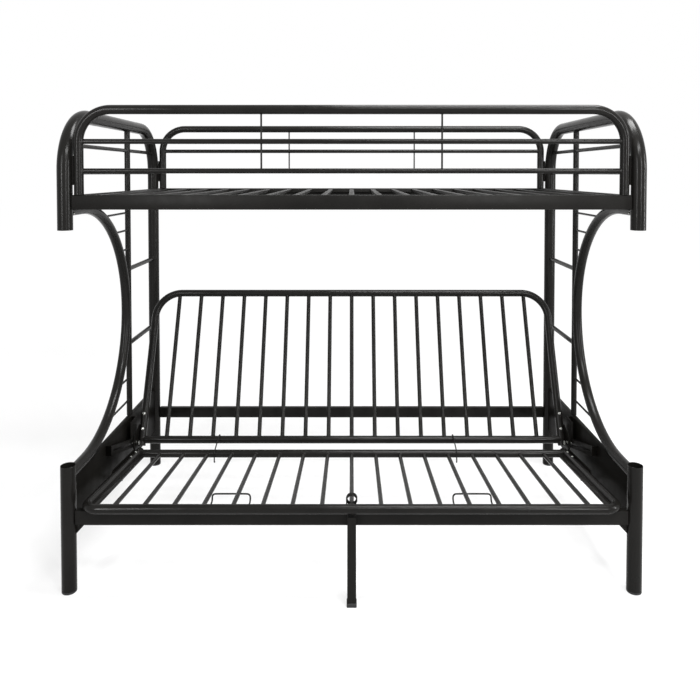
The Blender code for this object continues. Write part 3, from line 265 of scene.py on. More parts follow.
class BunkBedSettings(bpy.types.PropertyGroup):
    """All settings of the bed."""

    frame: bpy.props.PointerProperty(type=BedFrameSizes)
    futon: bpy.props.PointerProperty(type=BedFutonSizes)
    detail: bpy.props.PointerProperty(type=BedDetailSizes)
    colours: bpy.props.PointerProperty(type=BedColours)
    stage: bpy.props.PointerProperty(type=BedStage)


# Materials

# Columns of the shader nodes in the editor, by kind, and the height of a row
NODE_COLUMNS = {
    "ShaderNodeTexCoord": -1100,
    "ShaderNodeTexNoise": -900,
    "ShaderNodeMapRange": -680,
    "ShaderNodeMix": -460,
    "ShaderNodeBump": -240,
}
NODE_ROW = 300

# Most values of a noise texture lie between these two
NOISE_LOW = 0.3
NOISE_HIGH = 0.7

# Powder coats: colour, roughness, spread of the roughness, strength of the peel, specular level
POWDER_COATS = {
    "tube_coat": ("coat", 0.23, 0.05, 0.08, 0.10),
    "bar_coat": ("coat", 0.25, 0.05, 0.08, 0.10),
    "rail_coat": ("coat", 0.38, 0.05, 0.14, 0.07),
    # The panel and bracket coats use the darker panel colour: painted shade on the end panels,
    # guides, webs, brackets and levers
    "panel_coat_painted_shade": ("panel", 0.40, 0.07, 0.14, 0.02),
    "bracket_coat_painted_shade": ("panel", 0.38, 0.05, 0.12, 0.02),
}
MATT_SPECULAR = 0.2
PALE_ZINC_SHARE = 1.2
PALE_NYLON_SHARE = 1.5


def start_material(name):
    """A new material, its node tree, its shader and its object coordinates."""
    material = bpy.data.materials.new(name)
    material.use_nodes = True
    tree = material.node_tree
    place = tree.nodes.new("ShaderNodeTexCoord")
    return material, tree, tree.nodes["Principled BSDF"], place.outputs["Object"]


def add_noise(tree, place, scale, detail=3.0):
    """A noise texture on object coordinates."""
    noise = tree.nodes.new("ShaderNodeTexNoise")
    noise.inputs["Scale"].default_value = scale
    noise.inputs["Detail"].default_value = detail
    tree.links.new(place, noise.inputs["Vector"])
    return noise.outputs["Fac"]


def add_range(tree, value, start, end):
    """Map a noise value to a range."""
    spread = tree.nodes.new("ShaderNodeMapRange")
    spread.inputs["From Min"].default_value = NOISE_LOW
    spread.inputs["From Max"].default_value = NOISE_HIGH
    spread.inputs["To Min"].default_value = start
    spread.inputs["To Max"].default_value = end
    tree.links.new(value, spread.inputs["Value"])
    return spread.outputs["Result"]


def add_tones(tree, shader, value, first, second):
    """Mix two colours by a value, for the shader's base colour."""
    mix = tree.nodes.new("ShaderNodeMix")
    mix.data_type = "RGBA"
    mix.inputs["A"].default_value = (*first, 1.0)
    mix.inputs["B"].default_value = (*second, 1.0)
    tree.links.new(value, mix.inputs["Factor"])
    tree.links.new(mix.outputs["Result"], shader.inputs["Base Color"])


def add_sheen(tree, shader, value, start, end):
    """Map a noise value to a range of roughness."""
    tree.links.new(add_range(tree, value, start, end), shader.inputs["Roughness"])


def add_bump(tree, shader, height, strength, distance):
    """Bump a shader's normal by a height."""
    bump = tree.nodes.new("ShaderNodeBump")
    bump.inputs["Strength"].default_value = strength
    bump.inputs["Distance"].default_value = distance
    tree.links.new(height, bump.inputs["Height"])
    tree.links.new(bump.outputs["Normal"], shader.inputs["Normal"])


def lay_out(tree):
    """Put each kind of shader node in a column of its own."""
    filled = dict.fromkeys(NODE_COLUMNS, 0)
    for node in tree.nodes:
        if node.bl_idname in NODE_COLUMNS:
            node.location = (NODE_COLUMNS[node.bl_idname], -NODE_ROW * filled[node.bl_idname])
            filled[node.bl_idname] += 1


def powder_coat(name, colours):
    """Black powder coat: fine orange peel, and soft changes of tone and of gloss."""
    hue, roughness, spread, peel, specular = POWDER_COATS[name]
    material, tree, shader, place = start_material(name)
    tone = add_range(tree, add_noise(tree, place, scale=7.0), 0.0, 1.0)
    speck = add_noise(tree, place, scale=900.0, detail=2.0)
    gloss = add_noise(tree, place, scale=23.0, detail=4.0)
    add_tones(tree, shader, tone, getattr(colours, hue), getattr(colours, f"{hue}_pale"))
    add_sheen(tree, shader, gloss, roughness - spread, roughness + spread)
    add_bump(tree, shader, speck, strength=peel, distance=0.0004)
    shader.inputs["Specular IOR Level"].default_value = specular
    return material


def weld_coat(name, colours):
    """Powder coat over the ripples of a weld."""
    material, tree, shader, place = start_material(name)
    ripple = add_noise(tree, place, scale=420.0, detail=2.0)
    add_tones(tree, shader, ripple, colours.coat, colours.coat_pale)
    add_sheen(tree, shader, ripple, 0.36, 0.50)
    add_bump(tree, shader, ripple, strength=0.6, distance=0.0008)
    shader.inputs["Specular IOR Level"].default_value = MATT_SPECULAR
    return material


def zinc_plate(name, colours):
    """Bright zinc plate with fine scratches."""
    material, tree, shader, place = start_material(name)
    cloud = add_noise(tree, place, scale=160.0)
    scratch = add_noise(tree, place, scale=1400.0, detail=1.0)
    pale = tuple(min(1.0, channel * PALE_ZINC_SHARE) for channel in colours.zinc)
    add_tones(tree, shader, cloud, colours.zinc, pale)
    add_sheen(tree, shader, scratch, 0.22, 0.36)
    add_bump(tree, shader, scratch, strength=0.08, distance=0.0002)
    shader.inputs["Metallic"].default_value = 1.0
    return material


def moulded_nylon(name, colours):
    """Matt black nylon with a fine moulded grain."""
    material, tree, shader, place = start_material(name)
    grain = add_noise(tree, place, scale=1100.0, detail=2.0)
    cloud = add_noise(tree, place, scale=30.0)
    pale = tuple(channel * PALE_NYLON_SHARE for channel in colours.nylon)
    add_tones(tree, shader, cloud, colours.nylon, pale)
    add_sheen(tree, shader, grain, 0.46, 0.60)
    add_bump(tree, shader, grain, strength=0.25, distance=0.0003)
    shader.inputs["Specular IOR Level"].default_value = MATT_SPECULAR
    return material


def finish(name):
    """A finish of the bed by name, made once."""
    made = bpy.data.materials.get(name)
    if made:
        return made
    makers = {"weld_coat": weld_coat, "zinc_plate": zinc_plate, "moulded_nylon": moulded_nylon}
    material = makers.get(name, powder_coat)(name, bpy.context.scene.bunk_bed.colours)
    lay_out(material.node_tree)
    return material


# Modelling

# A tube plug's steps: shares of its lip and of the tube's radius
PLUG_SHARES = ((0.0, 0.93), (0.6, 0.90), (0.4, 0.72))
# A bolt's head with its socket: shares of the head's radius and height
BOLT_HEAD_SHARES = (
    (0.0, 0.35),
    (0.45, 0.35),
    (0.45, 1.0),
    (0.72, 0.88),
    (0.92, 0.58),
    (1.0, 0.12),
    (0.97, 0.0),
)
# Its washer: shares of the washer's radius and height
WASHER_SHARES = ((0.96, 1.0), (1.0, 0.8), (1.0, 0.0), (0.0, 0.0))
# A foot cap: inset from the post and height, as shares of a quarter of its height
FOOT_SHARES = ((1.6, 0.0), (0.5, 0.35), (0.1, 1.2), (0.1, 3.4), (0.5, 4.0))
# A flat strip's eased edge, as a share of its thickness
STRIP_EDGE_SHARE = 1 / 6
# How deep a washer beds on a round tube, as a share of its height
WASHER_BEDDING_SHARE = 0.7
# Weld beads of the half moons and of the upright wires, as shares of the usual bead
C_BEAD_SHARE = 1.4
WIRE_BEAD_SHARE = 0.7


class TubeBender:
    """Grows a round tube ring by ring, the way a tube bender feeds it."""

    def __init__(self, shape, start, heading, radius, sides):
        self.shape = shape
        self.centre = Vector(start)
        self.heading = Vector(heading).normalized()
        turn = self.heading.to_track_quat("Z", "Y").to_matrix().to_4x4()
        made = bmesh.ops.create_circle(
            shape,
            cap_ends=True,
            segments=sides,
            radius=radius,
            matrix=Matrix.Translation(self.centre) @ turn,
        )
        self.knots = made["verts"]
        self.rim = list({edge for knot in self.knots for edge in knot.link_edges})
        self.radius = radius

    def take(self, grown):
        """Go on from the ring that was just made."""
        self.knots = [item for item in grown if isinstance(item, bmesh.types.BMVert)]
        mine = set(self.knots)
        edges = [item for item in grown if isinstance(item, bmesh.types.BMEdge)]
        self.rim = [edge for edge in edges if mine.issuperset(edge.verts)]

    def grow(self, distance, radius=None):
        """Run straight on, to another radius if one is given."""
        made = bmesh.ops.extrude_edge_only(self.shape, edges=self.rim)
        self.take(made["geom"])
        step = self.heading * distance
        bmesh.ops.translate(self.shape, vec=step, verts=self.knots)
        self.centre = self.centre + step
        if radius is not None:
            factor = radius / self.radius
            for knot in self.knots:
                knot.co = self.centre + (knot.co - self.centre) * factor
            self.radius = radius

    def bend(self, toward, bend_radius, turn_angle, steps):
        """Turn towards a direction round a bend radius."""
        toward = Vector(toward).normalized()
        pivot = self.centre + toward * bend_radius
        axis = self.heading.cross(toward)
        made = bmesh.ops.spin(
            self.shape,
            geom=self.rim + self.knots,
            cent=pivot,
            axis=axis,
            angle=turn_angle,
            steps=steps,
        )
        self.take(made["geom_last"])
        turn = Matrix.Rotation(turn_angle, 3, axis)
        self.centre = pivot + turn @ (self.centre - pivot)
        self.heading = turn @ self.heading

    def follow(self, corners, bend_radius):
        """Run through corners with bends in all of them but the last."""
        corners = [Vector(corner) for corner in corners]
        for corner, after in zip(corners[:-1], corners[1:]):
            onward = (after - corner).normalized()
            turn_angle = self.heading.angle(onward)
            tangent = bend_radius * math.tan(turn_angle / 2)
            self.grow((corner - self.centre).length - tangent)
            toward = onward - self.heading * self.heading.dot(onward)
            self.bend(toward, bend_radius, turn_angle, BEND_STEPS)
        self.grow((corners[-1] - self.centre).length)

    def coil(self, axis, coil_radius, turns, pitch, steps):
        """Wind round an axis square to the heading, moving on by a pitch each turn."""
        toward = axis.cross(self.heading)
        made = bmesh.ops.spin(
            self.shape,
            geom=self.rim + self.knots,
            cent=self.centre + toward * coil_radius,
            axis=axis,
            dvec=axis * pitch / steps,
            angle=2 * math.pi * turns,
            steps=turns * steps,
        )
        self.take(made["geom_last"])

    def close(self):
        """Close the end with a flat cap."""
        bmesh.ops.edgeloop_fill(self.shape, edges=self.rim)


def open_mouth(shape, lip, outward, sizes):
    """Start a post at an open end, with its bore and rounded lip."""
    soft = sizes.wall / 3
    bore = POST_RADIUS - sizes.wall
    depth = sizes.mouth_depth
    tube = TubeBender(shape, lip - outward * depth, outward, bore, POST_SIDES)
    tube.grow(depth - soft)
    tube.grow(soft, bore + soft)
    tube.grow(0.0, POST_RADIUS - soft)
    tube.heading = -outward
    tube.grow(soft, POST_RADIUS)
    return tube


def plugged_end(tube, lip):
    """Close a tube's end with the rounded lip of a pressed-in plug."""
    radius = tube.radius
    for height, width in PLUG_SHARES:
        tube.grow(lip * height, radius * width)
    tube.close()


def add_bar(shape, start, end, radius, sides=BAR_SIDES):
    """A straight round bar between two points."""
    start = Vector(start)
    end = Vector(end)
    bar = TubeBender(shape, start, end - start, radius, sides)
    bar.grow((end - start).length)
    bar.close()


def reach_to_tube(point, heading, host):
    """Distance along a heading to where it enters a host tube."""
    foot, axis, radius = host
    across = point - foot
    across = across - axis * across.dot(axis)
    course = heading - axis * heading.dot(axis)
    speed = course.length_squared
    half = across.dot(course)
    spare = half**2 - speed * (across.length_squared - radius**2)
    return (-half - math.sqrt(max(spare, 0.0))) / speed


def cope(knots, heading, host):
    """Slide a ring along a heading onto a host tube, as a coped tube end."""
    for knot in knots:
        knot.co += heading * reach_to_tube(knot.co, heading, host)


def add_weld(shape, place, heading, radius, host, bead):
    """A weld bead round a bar of one radius, where it runs into a host tube."""
    heading = Vector(heading).normalized()
    outward = heading.orthogonal().normalized()
    side = heading.cross(outward)
    frame_turn = Matrix((outward, heading, side)).transposed().to_4x4()
    spot = Matrix.Translation(place + outward * radius) @ frame_turn
    made = bmesh.ops.create_circle(shape, segments=WELD_SIDES, radius=bead, matrix=spot)
    ring = made["verts"]
    edges = list({edge for knot in ring for edge in knot.link_edges})
    before = set(shape.verts)
    bmesh.ops.spin(
        shape,
        geom=edges + ring,
        cent=place,
        axis=heading,
        angle=2 * math.pi,
        steps=WELD_STEPS,
        use_merge=True,
    )
    knots = ring + [knot for knot in shape.verts if knot not in before]
    for knot in knots:
        away = knot.co - place
        travel = away.dot(heading)
        level = knot.co - heading * travel
        knot.co += heading * reach_to_tube(level, heading, host)


def add_turned(shape, profile, place, heading, steps=TURNED_STEPS):
    """A turned form: profile points are (radius, distance along the heading)."""
    heading = Vector(heading).normalized()
    outward = heading.orthogonal().normalized()
    knots = [
        shape.verts.new(place + outward * radius + heading * distance)
        for radius, distance in profile
    ]
    edges = [shape.edges.new(pair) for pair in zip(knots[:-1], knots[1:])]
    bmesh.ops.spin(
        shape,
        geom=edges + knots,
        cent=place,
        axis=heading,
        angle=2 * math.pi,
        steps=steps,
        use_merge=True,
    )


def add_bolt(shape, place, heading, detail):
    """A domed bolt head with a socket, on a washer."""
    base = detail.washer_height
    profile = [
        (detail.bolt_radius * across, base + detail.bolt_height * along)
        for across, along in BOLT_HEAD_SHARES
    ]
    profile += [(detail.washer_radius * across, base * along) for across, along in WASHER_SHARES]
    add_turned(shape, profile, place, heading)


def make_object(name, shape, finish_name):
    """Turn a shape into an object with a finish, smooth but for its real edges."""
    mesh = bpy.data.meshes.new(name)
    shape.to_mesh(mesh)
    shape.free()
    mesh.materials.append(finish(finish_name))
    mesh.shade_smooth()
    mesh.set_sharp_from_angle(angle=SHARP_ANGLE)
    piece = bpy.data.objects.new(name, mesh)
    bpy.context.scene.collection.objects.link(piece)
    return piece


def add_piece(name, shape, body, finish_name, *nodes):
    """Turn a shape into a finished piece that rides on a body and stands for nodes."""
    bmesh.ops.remove_doubles(shape, verts=shape.verts, dist=MERGE_DISTANCE)
    bmesh.ops.recalc_face_normals(shape, faces=shape.faces)
    piece = make_object(name, shape, finish_name)
    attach(piece, body)
    if nodes:
        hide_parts(*nodes)


def finished_copy(node, name, finish_name, edge=0.0, rounds=0):
    """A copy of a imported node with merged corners, eased edges or rounded wire."""
    source = frame["nodes"][node]
    shape = bmesh.new()
    shape.from_mesh(source.data)
    bmesh.ops.remove_doubles(shape, verts=shape.verts, dist=COPY_MERGE_DISTANCE)
    piece = make_object(name, shape, finish_name)
    if edge > 0.0:
        easing = piece.modifiers.new("eased_edges", "BEVEL")
        easing.width = edge
        easing.segments = 2
        easing.limit_method = "ANGLE"
        easing.angle_limit = SHARP_ANGLE
        easing.use_clamp_overlap = True
        easing.harden_normals = True
    if rounds:
        rounding = piece.modifiers.new("round_wire", "SUBSURF")
        rounding.levels = rounds
        rounding.render_levels = rounds
    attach(piece, source["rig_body"])
    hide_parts(node)


def place_shape(shape, matrix):
    """Move a whole shape from its own axes to the bed's."""
    bmesh.ops.transform(shape, matrix=matrix, verts=shape.verts)


def add_strip(shape, inner_x, outer_x, futon):
    """A flat strip between the seat's side tube and its slats, with eased edges."""
    long_half = (futon.seat_front - futon.seat_rear) / 2
    centre = ((inner_x + outer_x) / 2, -futon.seat_rear - long_half, -futon.offset)
    extents = (abs(outer_x - inner_x), 2 * long_half, futon.strip_height)
    place = Matrix.Translation(centre) @ Matrix.Diagonal((*extents, 1.0))
    made = bmesh.ops.create_cube(shape, size=1.0, matrix=place)
    edges = list({edge for knot in made["verts"] for edge in knot.link_edges})
    bmesh.ops.bevel(
        shape,
        geom=edges,
        offset=futon.strip_height * STRIP_EDGE_SHARE,
        affect="EDGES",
        segments=2,
        profile=0.5,
        material=-1,
    )


def futon_places(half_width, slat_radius, pitch):
    """Places of the slats along X."""
    count = int((half_width - slat_radius) / pitch)
    return [number * pitch for number in range(-count, count + 1)]


def corner_sag(x, tube_x, bend):
    """How far a corner bend has left its end tube's line at a place."""
    into_bend = max(0.0, abs(x) - (tube_x - bend))
    return bend - math.sqrt(bend**2 - into_bend**2)


def hoop_front_y(height, sizes):
    """Where the hoop's front post lies at a height, its bend included."""
    rise = height - (HOOP_TOP - sizes.hoop_bend)
    if rise <= 0.0:
        return FRONT_Y
    return FRONT_Y + sizes.hoop_bend - math.sqrt(sizes.hoop_bend**2 - rise**2)


def c_tube_y(height):
    """Where the C tube's centre line lies at a height."""
    rise = height - (C_TOP + C_BOTTOM) / 2
    return FRONT_Y + C_LEAD + math.sqrt(C_BEND**2 - rise**2)


# Heights of the spokes, over the C tube's lower end and under its upper end
LOW_SPOKE_RISES = (0.050, 0.146)
HIGH_SPOKE_DROPS = (0.201, 0.118, 0.042)
SPOKE_HEIGHTS = [C_BOTTOM + rise for rise in LOW_SPOKE_RISES]
SPOKE_HEIGHTS += [C_TOP - drop for drop in HIGH_SPOKE_DROPS]

# Bolts: places along the posts and tubes that they hold
REAR_POST_BOLT_HEIGHTS = (0.205, 0.375)
C_TUBE_BOLT_LEAD = 0.030
C_TUBE_BOLT_DROP = 0.009
BACK_BOLT_RISES = (0.057, 0.120)
SEAT_BOLT_LEADS = (0.030, 0.089)


def back_axes(futon):
    """Matrix from the back's own axes to the bed's."""
    return Matrix.Translation(PIVOT) @ Matrix.Rotation(-futon.back_tilt, 4, "X")


def seat_axes(futon):
    """Matrix from the seat's own axes to the bed's."""
    return Matrix.Translation(PIVOT) @ Matrix.Rotation(-futon.seat_slope, 4, "X")


class BUNKBED_OT_end_hoops(bpy.types.Operator):
    """Bend the two end hoops: open front tail, top tube and rear post"""

    bl_idname = "bunkbed.end_hoops"
    bl_label = "End hoops"

    def execute(self, context):
        sizes = context.scene.bunk_bed.frame
        for name, side in SIDES.items():
            x = side * POST_X
            shape = bmesh.new()
            lip = Vector((x, FRONT_Y, HOOP_TOP - sizes.hoop_tail))
            tube = open_mouth(shape, lip, -UP, sizes)
            corners = [(x, FRONT_Y, HOOP_TOP), (x, REAR_Y, HOOP_TOP), (x, REAR_Y, FOOT_TOP)]
            tube.follow(corners, sizes.hoop_bend)
            tube.close()
            add_piece(f"{name}_hoop", shape, "frame", "tube_coat", f"{name}_end_hoop")
        return {"FINISHED"}


class BUNKBED_OT_front_legs(bpy.types.Operator):
    """Make the two short front legs with their open tops"""

    bl_idname = "bunkbed.front_legs"
    bl_label = "Front legs"

    def execute(self, context):
        sizes = context.scene.bunk_bed.frame
        for name, side in SIDES.items():
            x = side * POST_X
            shape = bmesh.new()
            lip = Vector((x, FRONT_Y, LEG_TOP))
            tube = open_mouth(shape, lip, UP, sizes)
            tube.follow([(x, FRONT_Y, FOOT_TOP)], 0.0)
            tube.close()
            add_piece(f"{name}_leg", shape, "frame", "tube_coat", f"{name}_front_leg")
        return {"FINISHED"}


class BUNKBED_OT_feet(bpy.types.Operator):
    """Mould the nylon caps under the posts and the middle leg"""

    bl_idname = "bunkbed.feet"
    bl_label = "Feet"

    def execute(self, context):
        for name in ("left_front", "left_rear", "right_front", "right_rear"):
            node = f"{name}_foot"
            spot = middle(node)
            top = high(node).z
            soft = top / 4
            shape = bmesh.new()
            profile = [(POST_RADIUS - inset * soft, rise * soft) for inset, rise in FOOT_SHARES]
            profile = [(0.0, 0.0), *profile, (0.0, top)]
            add_turned(shape, profile, Vector((spot.x, spot.y, 0.0)), UP, POST_SIDES)
            add_piece(f"{name}_cap", shape, "frame", "moulded_nylon", node)
        sizes = context.scene.bunk_bed.frame
        finished_copy("centre_leg_foot", "centre_cap", "moulded_nylon", sizes.plate_edge)
        return {"FINISHED"}


class BUNKBED_OT_c_tubes(bpy.types.Operator):
    """Bend the half-moon tubes and cope their ends to the hoop and the front leg"""

    bl_idname = "bunkbed.c_tubes"
    bl_label = "C tubes"

    def execute(self, context):
        for name, side in SIDES.items():
            x = side * POST_X
            host = (Vector((x, FRONT_Y, 0.0)), UP, POST_RADIUS)
            shape = bmesh.new()
            tube = TubeBender(shape, (x, FRONT_Y, C_TOP), REARWARD, C_RADIUS, TUBE_SIDES)
            first = tube.knots
            tube.grow(C_LEAD)
            tube.bend(-UP, C_BEND, math.pi, C_BEND_STEPS)
            tube.grow(C_LEAD)
            cope(first, -REARWARD, host)
            cope(tube.knots, -REARWARD, host)
            tube.close()
            add_piece(f"{name}_half_moon", shape, "frame", "tube_coat", f"{name}_c_tube")
        return {"FINISHED"}


class BUNKBED_OT_ladders(bpy.types.Operator):
    """Make the ladder posts with their spokes, the rungs and the end guard bars"""

    bl_idname = "bunkbed.ladders"
    bl_label = "Ladders"

    def execute(self, context):
        sizes = context.scene.bunk_bed.frame
        for name, side in SIDES.items():
            x = side * POST_X
            shape = bmesh.new()
            add_bar(shape, (x, LADDER_Y, LADDER_FOOT), (x, LADDER_Y, HOOP_TOP), LADDER_RADIUS)
            for height in SPOKE_HEIGHTS:
                start = (x, c_tube_y(height), height)
                add_bar(shape, start, (x, LADDER_Y, height), sizes.spoke_radius, WIRE_SIDES)
            post = f"{name}_ladder_post"
            add_piece(f"{name}_ladder_upright", shape, "frame", "tube_coat", post)
            for place in ("lower", "upper"):
                node = f"{name}_ladder_rung_{place}"
                height = middle(node).z
                shape = bmesh.new()
                add_bar(shape, (x, LADDER_Y, height), (x, REAR_Y, height), RUNG_RADIUS)
                add_piece(f"{name}_rung_{place}", shape, "frame", "bar_coat", node)
            for place in ("lower", "upper"):
                node = f"{name}_end_guard_{place}"
                height = middle(node).z
                front = (x, hoop_front_y(height, sizes), height)
                rear = (x, FRONT_Y + REAR_Y - front[1], height)
                shape = bmesh.new()
                add_bar(shape, front, rear, END_GUARD_RADIUS)
                add_piece(f"{name}_guard_bar_{place}", shape, "frame", "bar_coat", node)
        return {"FINISHED"}


class BUNKBED_OT_panels(bpy.types.Operator):
    """Finish the end panels and the slotted guide brackets"""

    bl_idname = "bunkbed.panels"
    bl_label = "Panels and guides"

    def execute(self, context):
        edge = context.scene.bunk_bed.frame.plate_edge
        for name in SIDES:
            finished_copy(f"{name}_end_panel", f"{name}_panel", "panel_coat_painted_shade")
            finished_copy(f"{name}_guide_bracket", f"{name}_guide", "bracket_coat_painted_shade", edge / 2)
        return {"FINISHED"}


class BUNKBED_OT_rails(bpy.types.Operator):
    """Finish the long rails, the deck's end rails and the deck slats"""

    bl_idname = "bunkbed.rails"
    bl_label = "Rails and deck"

    def execute(self, context):
        edge = context.scene.bunk_bed.frame.plate_edge
        for node in ("upper_front_rail", "upper_rear_rail", "lower_front_rail", "lower_rear_rail"):
            finished_copy(node, f"{node}_tube", "rail_coat")
        for name in SIDES:
            finished_copy(f"{name}_deck_end_rail", f"{name}_deck_rail", "rail_coat")
        finished_copy("deck_slats", "deck_grid", "rail_coat", edge)
        return {"FINISHED"}


class BUNKBED_OT_guards(bpy.types.Operator):
    """Bend the long guard tubes and fit their bars, wires and webs"""

    bl_idname = "bunkbed.guards"
    bl_label = "Guard rails"

    def execute(self, context):
        sizes = context.scene.bunk_bed.frame
        for end, y in (("front", FRONT_Y), ("rear", REAR_Y)):
            shape = bmesh.new()
            tube = TubeBender(shape, (-GUARD_X, y, GUARD_FOOT), UP, GUARD_RADIUS, TUBE_SIDES)
            corners = [(-GUARD_X, y, GUARD_TOP), (GUARD_X, y, GUARD_TOP), (GUARD_X, y, GUARD_FOOT)]
            tube.follow(corners, sizes.guard_bend)
            tube.close()
            add_piece(f"{end}_guard", shape, "frame", "tube_coat", f"{end}_guard_tube")
            shape = bmesh.new()
            for height in (GUARD_LOW_BAR, GUARD_LOW_BAR + sizes.guard_bar_pitch):
                add_bar(shape, (-GUARD_X, y, height), (GUARD_X, y, height), GUARD_BAR_RADIUS)
            for side in SIDES.values():
                x = side * sizes.guard_wire_offset
                foot = (x, y, GUARD_LOW_BAR)
                add_bar(shape, foot, (x, y, GUARD_TOP), sizes.guard_wire_radius, WIRE_SIDES)
            add_piece(f"{end}_bars", shape, "frame", "bar_coat", f"{end}_guard_bars")
            for name in SIDES:
                node = f"{name}_{end}_guard_web"
                finished_copy(node, f"{name}_{end}_web", "bracket_coat_painted_shade", sizes.plate_edge)
        return {"FINISHED"}


class BUNKBED_OT_middle_leg(bpy.types.Operator):
    """Finish the middle leg"""

    bl_idname = "bunkbed.middle_leg"
    bl_label = "Middle leg"

    def execute(self, context):
        edge = context.scene.bunk_bed.frame.leg_edge
        finished_copy("centre_leg", "middle_leg", "rail_coat", edge)
        return {"FINISHED"}


class BUNKBED_OT_wires(bpy.types.Operator):
    """Finish the wire rests, the tie hooks and the keeper coil"""

    bl_idname = "bunkbed.wires"
    bl_label = "Wire pieces"

    def execute(self, context):
        for name in SIDES:
            finished_copy(f"{name}_slat_rest", f"{name}_rest_wire", "bar_coat", rounds=1)
            finished_copy(f"{name}_tie_hook", f"{name}_hook_wire", "bar_coat", rounds=1)
        detail = context.scene.bunk_bed.detail
        node = "slat_keeper_coil"
        wire = detail.coil_wire
        coil_radius = half_size(node).x - wire
        shape = bmesh.new()
        start = (middle(node).x - coil_radius, low(node).y + wire, low(node).z)
        spring = TubeBender(shape, start, UP, wire, WIRE_SIDES)
        spring.grow(detail.coil_tail)
        spring.coil(REARWARD, coil_radius, COIL_TURNS, detail.coil_pitch, COIL_STEPS)
        spring.close()
        add_piece("keeper_spring", shape, "frame", "bar_coat", node)
        return {"FINISHED"}


class BUNKBED_OT_seat(bpy.types.Operator):
    """Bend the seat frame and set its slats"""

    bl_idname = "bunkbed.seat"
    bl_label = "Seat"

    def execute(self, context):
        settings = context.scene.bunk_bed
        futon = settings.futon
        x = SEAT_TUBE_X - futon.tube_radius
        level = -futon.offset
        front = -futon.seat_front
        rear = -futon.seat_rear
        tail = rear + futon.seat_tail
        lip = settings.detail.plug_lip
        shape = bmesh.new()
        tube = TubeBender(shape, (-x, tail, level), -REARWARD, futon.tube_radius, TUBE_SIDES)
        corners = [(-x, front, level), (x, front, level), (x, tail - lip, level)]
        tube.follow(corners, futon.seat_bend)
        plugged_end(tube, lip)
        add_bar(shape, (-x, rear, level), (x, rear, level), futon.tube_radius, TUBE_SIDES)
        inner = x - futon.tube_radius - futon.strip_width
        for side in SIDES.values():
            add_strip(shape, side * inner, side * (x - futon.tube_radius), futon)
        for place in futon_places(inner, futon.seat_slat, futon.slat_pitch):
            sag = corner_sag(place, x, futon.seat_bend)
            add_bar(shape, (place, front + sag, level), (place, rear, level), futon.seat_slat)
        place_shape(shape, seat_axes(futon))
        add_piece("seat_tubes", shape, "seat", "tube_coat", "seat_frame")
        return {"FINISHED"}


class BUNKBED_OT_back(bpy.types.Operator):
    """Bend the back frame and set its slats"""

    bl_idname = "bunkbed.back"
    bl_label = "Back"

    def execute(self, context):
        settings = context.scene.bunk_bed
        futon = settings.futon
        x = BACK_TUBE_X - futon.tube_radius
        depth = futon.offset
        foot = futon.back_low - futon.back_tail
        top = futon.back_high
        lip = settings.detail.plug_lip
        shape = bmesh.new()
        tube = TubeBender(shape, (-x, depth, foot), UP, futon.tube_radius, TUBE_SIDES)
        corners = [(-x, depth, top), (x, depth, top), (x, depth, foot + lip)]
        tube.follow(corners, futon.back_bend)
        plugged_end(tube, lip)
        rise = futon.back_low
        add_bar(shape, (-x, depth, rise), (x, depth, rise), futon.tube_radius, TUBE_SIDES)
        for place in futon_places(x - futon.tube_radius, futon.back_slat, futon.slat_pitch):
            end = top - corner_sag(place, x, futon.back_bend)
            add_bar(shape, (place, depth, rise), (place, depth, end), futon.back_slat)
        place_shape(shape, back_axes(futon))
        add_piece("back_tubes", shape, "back", "tube_coat", "back_frame")
        return {"FINISHED"}


class BUNKBED_OT_brackets(bpy.types.Operator):
    """Finish the futon's brackets, levers and pivot bolts"""

    bl_idname = "bunkbed.brackets"
    bl_label = "Futon brackets"

    def execute(self, context):
        edge = context.scene.bunk_bed.frame.plate_edge
        for name in SIDES:
            for part in ("seat_bracket", "back_bracket", "lock_lever"):
                finished_copy(f"{name}_{part}", f"{name}_{part}_plate", "bracket_coat_painted_shade", edge)
            finished_copy(f"{name}_pivot_bolt", f"{name}_pivot", "zinc_plate", edge)
        return {"FINISHED"}


class BUNKBED_OT_bolts(bpy.types.Operator):
    """Fit the domed bolts of the frame and of the futon"""

    bl_idname = "bunkbed.bolts"
    bl_label = "Bolts"

    def execute(self, context):
        settings = context.scene.bunk_bed
        detail = settings.detail
        futon = settings.futon
        bedding = futon.tube_radius - WASHER_BEDDING_SHARE * detail.washer_height
        frame_bolts = bmesh.new()
        back_bolts = bmesh.new()
        seat_bolts = bmesh.new()
        for side in SIDES.values():
            x = side * POST_X
            inward = -side * ALONG
            for height in REAR_POST_BOLT_HEIGHTS:
                spot = Vector((x, REAR_Y - POST_RADIUS, height))
                add_bolt(frame_bolts, spot, -REARWARD, detail)
            height = C_TOP - C_TUBE_BOLT_DROP
            spot = Vector((x, FRONT_Y + C_TUBE_BOLT_LEAD, height)) + inward * C_RADIUS
            add_bolt(frame_bolts, spot, inward, detail)
            tube_x = side * (BACK_TUBE_X - futon.tube_radius)
            for rise in BACK_BOLT_RISES:
                spot = Vector((tube_x, futon.offset - bedding, rise))
                add_bolt(back_bolts, spot, -REARWARD, detail)
            tube_x = side * (SEAT_TUBE_X - futon.tube_radius)
            for lead in SEAT_BOLT_LEADS:
                spot = Vector((tube_x, -futon.seat_rear - lead, bedding - futon.offset))
                add_bolt(seat_bolts, spot, UP, detail)
        place_shape(back_bolts, back_axes(futon))
        place_shape(seat_bolts, seat_axes(futon))
        add_piece("frame_bolts", frame_bolts, "frame", "zinc_plate")
        add_piece("back_bolts", back_bolts, "back", "zinc_plate")
        add_piece("seat_bolts", seat_bolts, "seat", "zinc_plate")
        return {"FINISHED"}


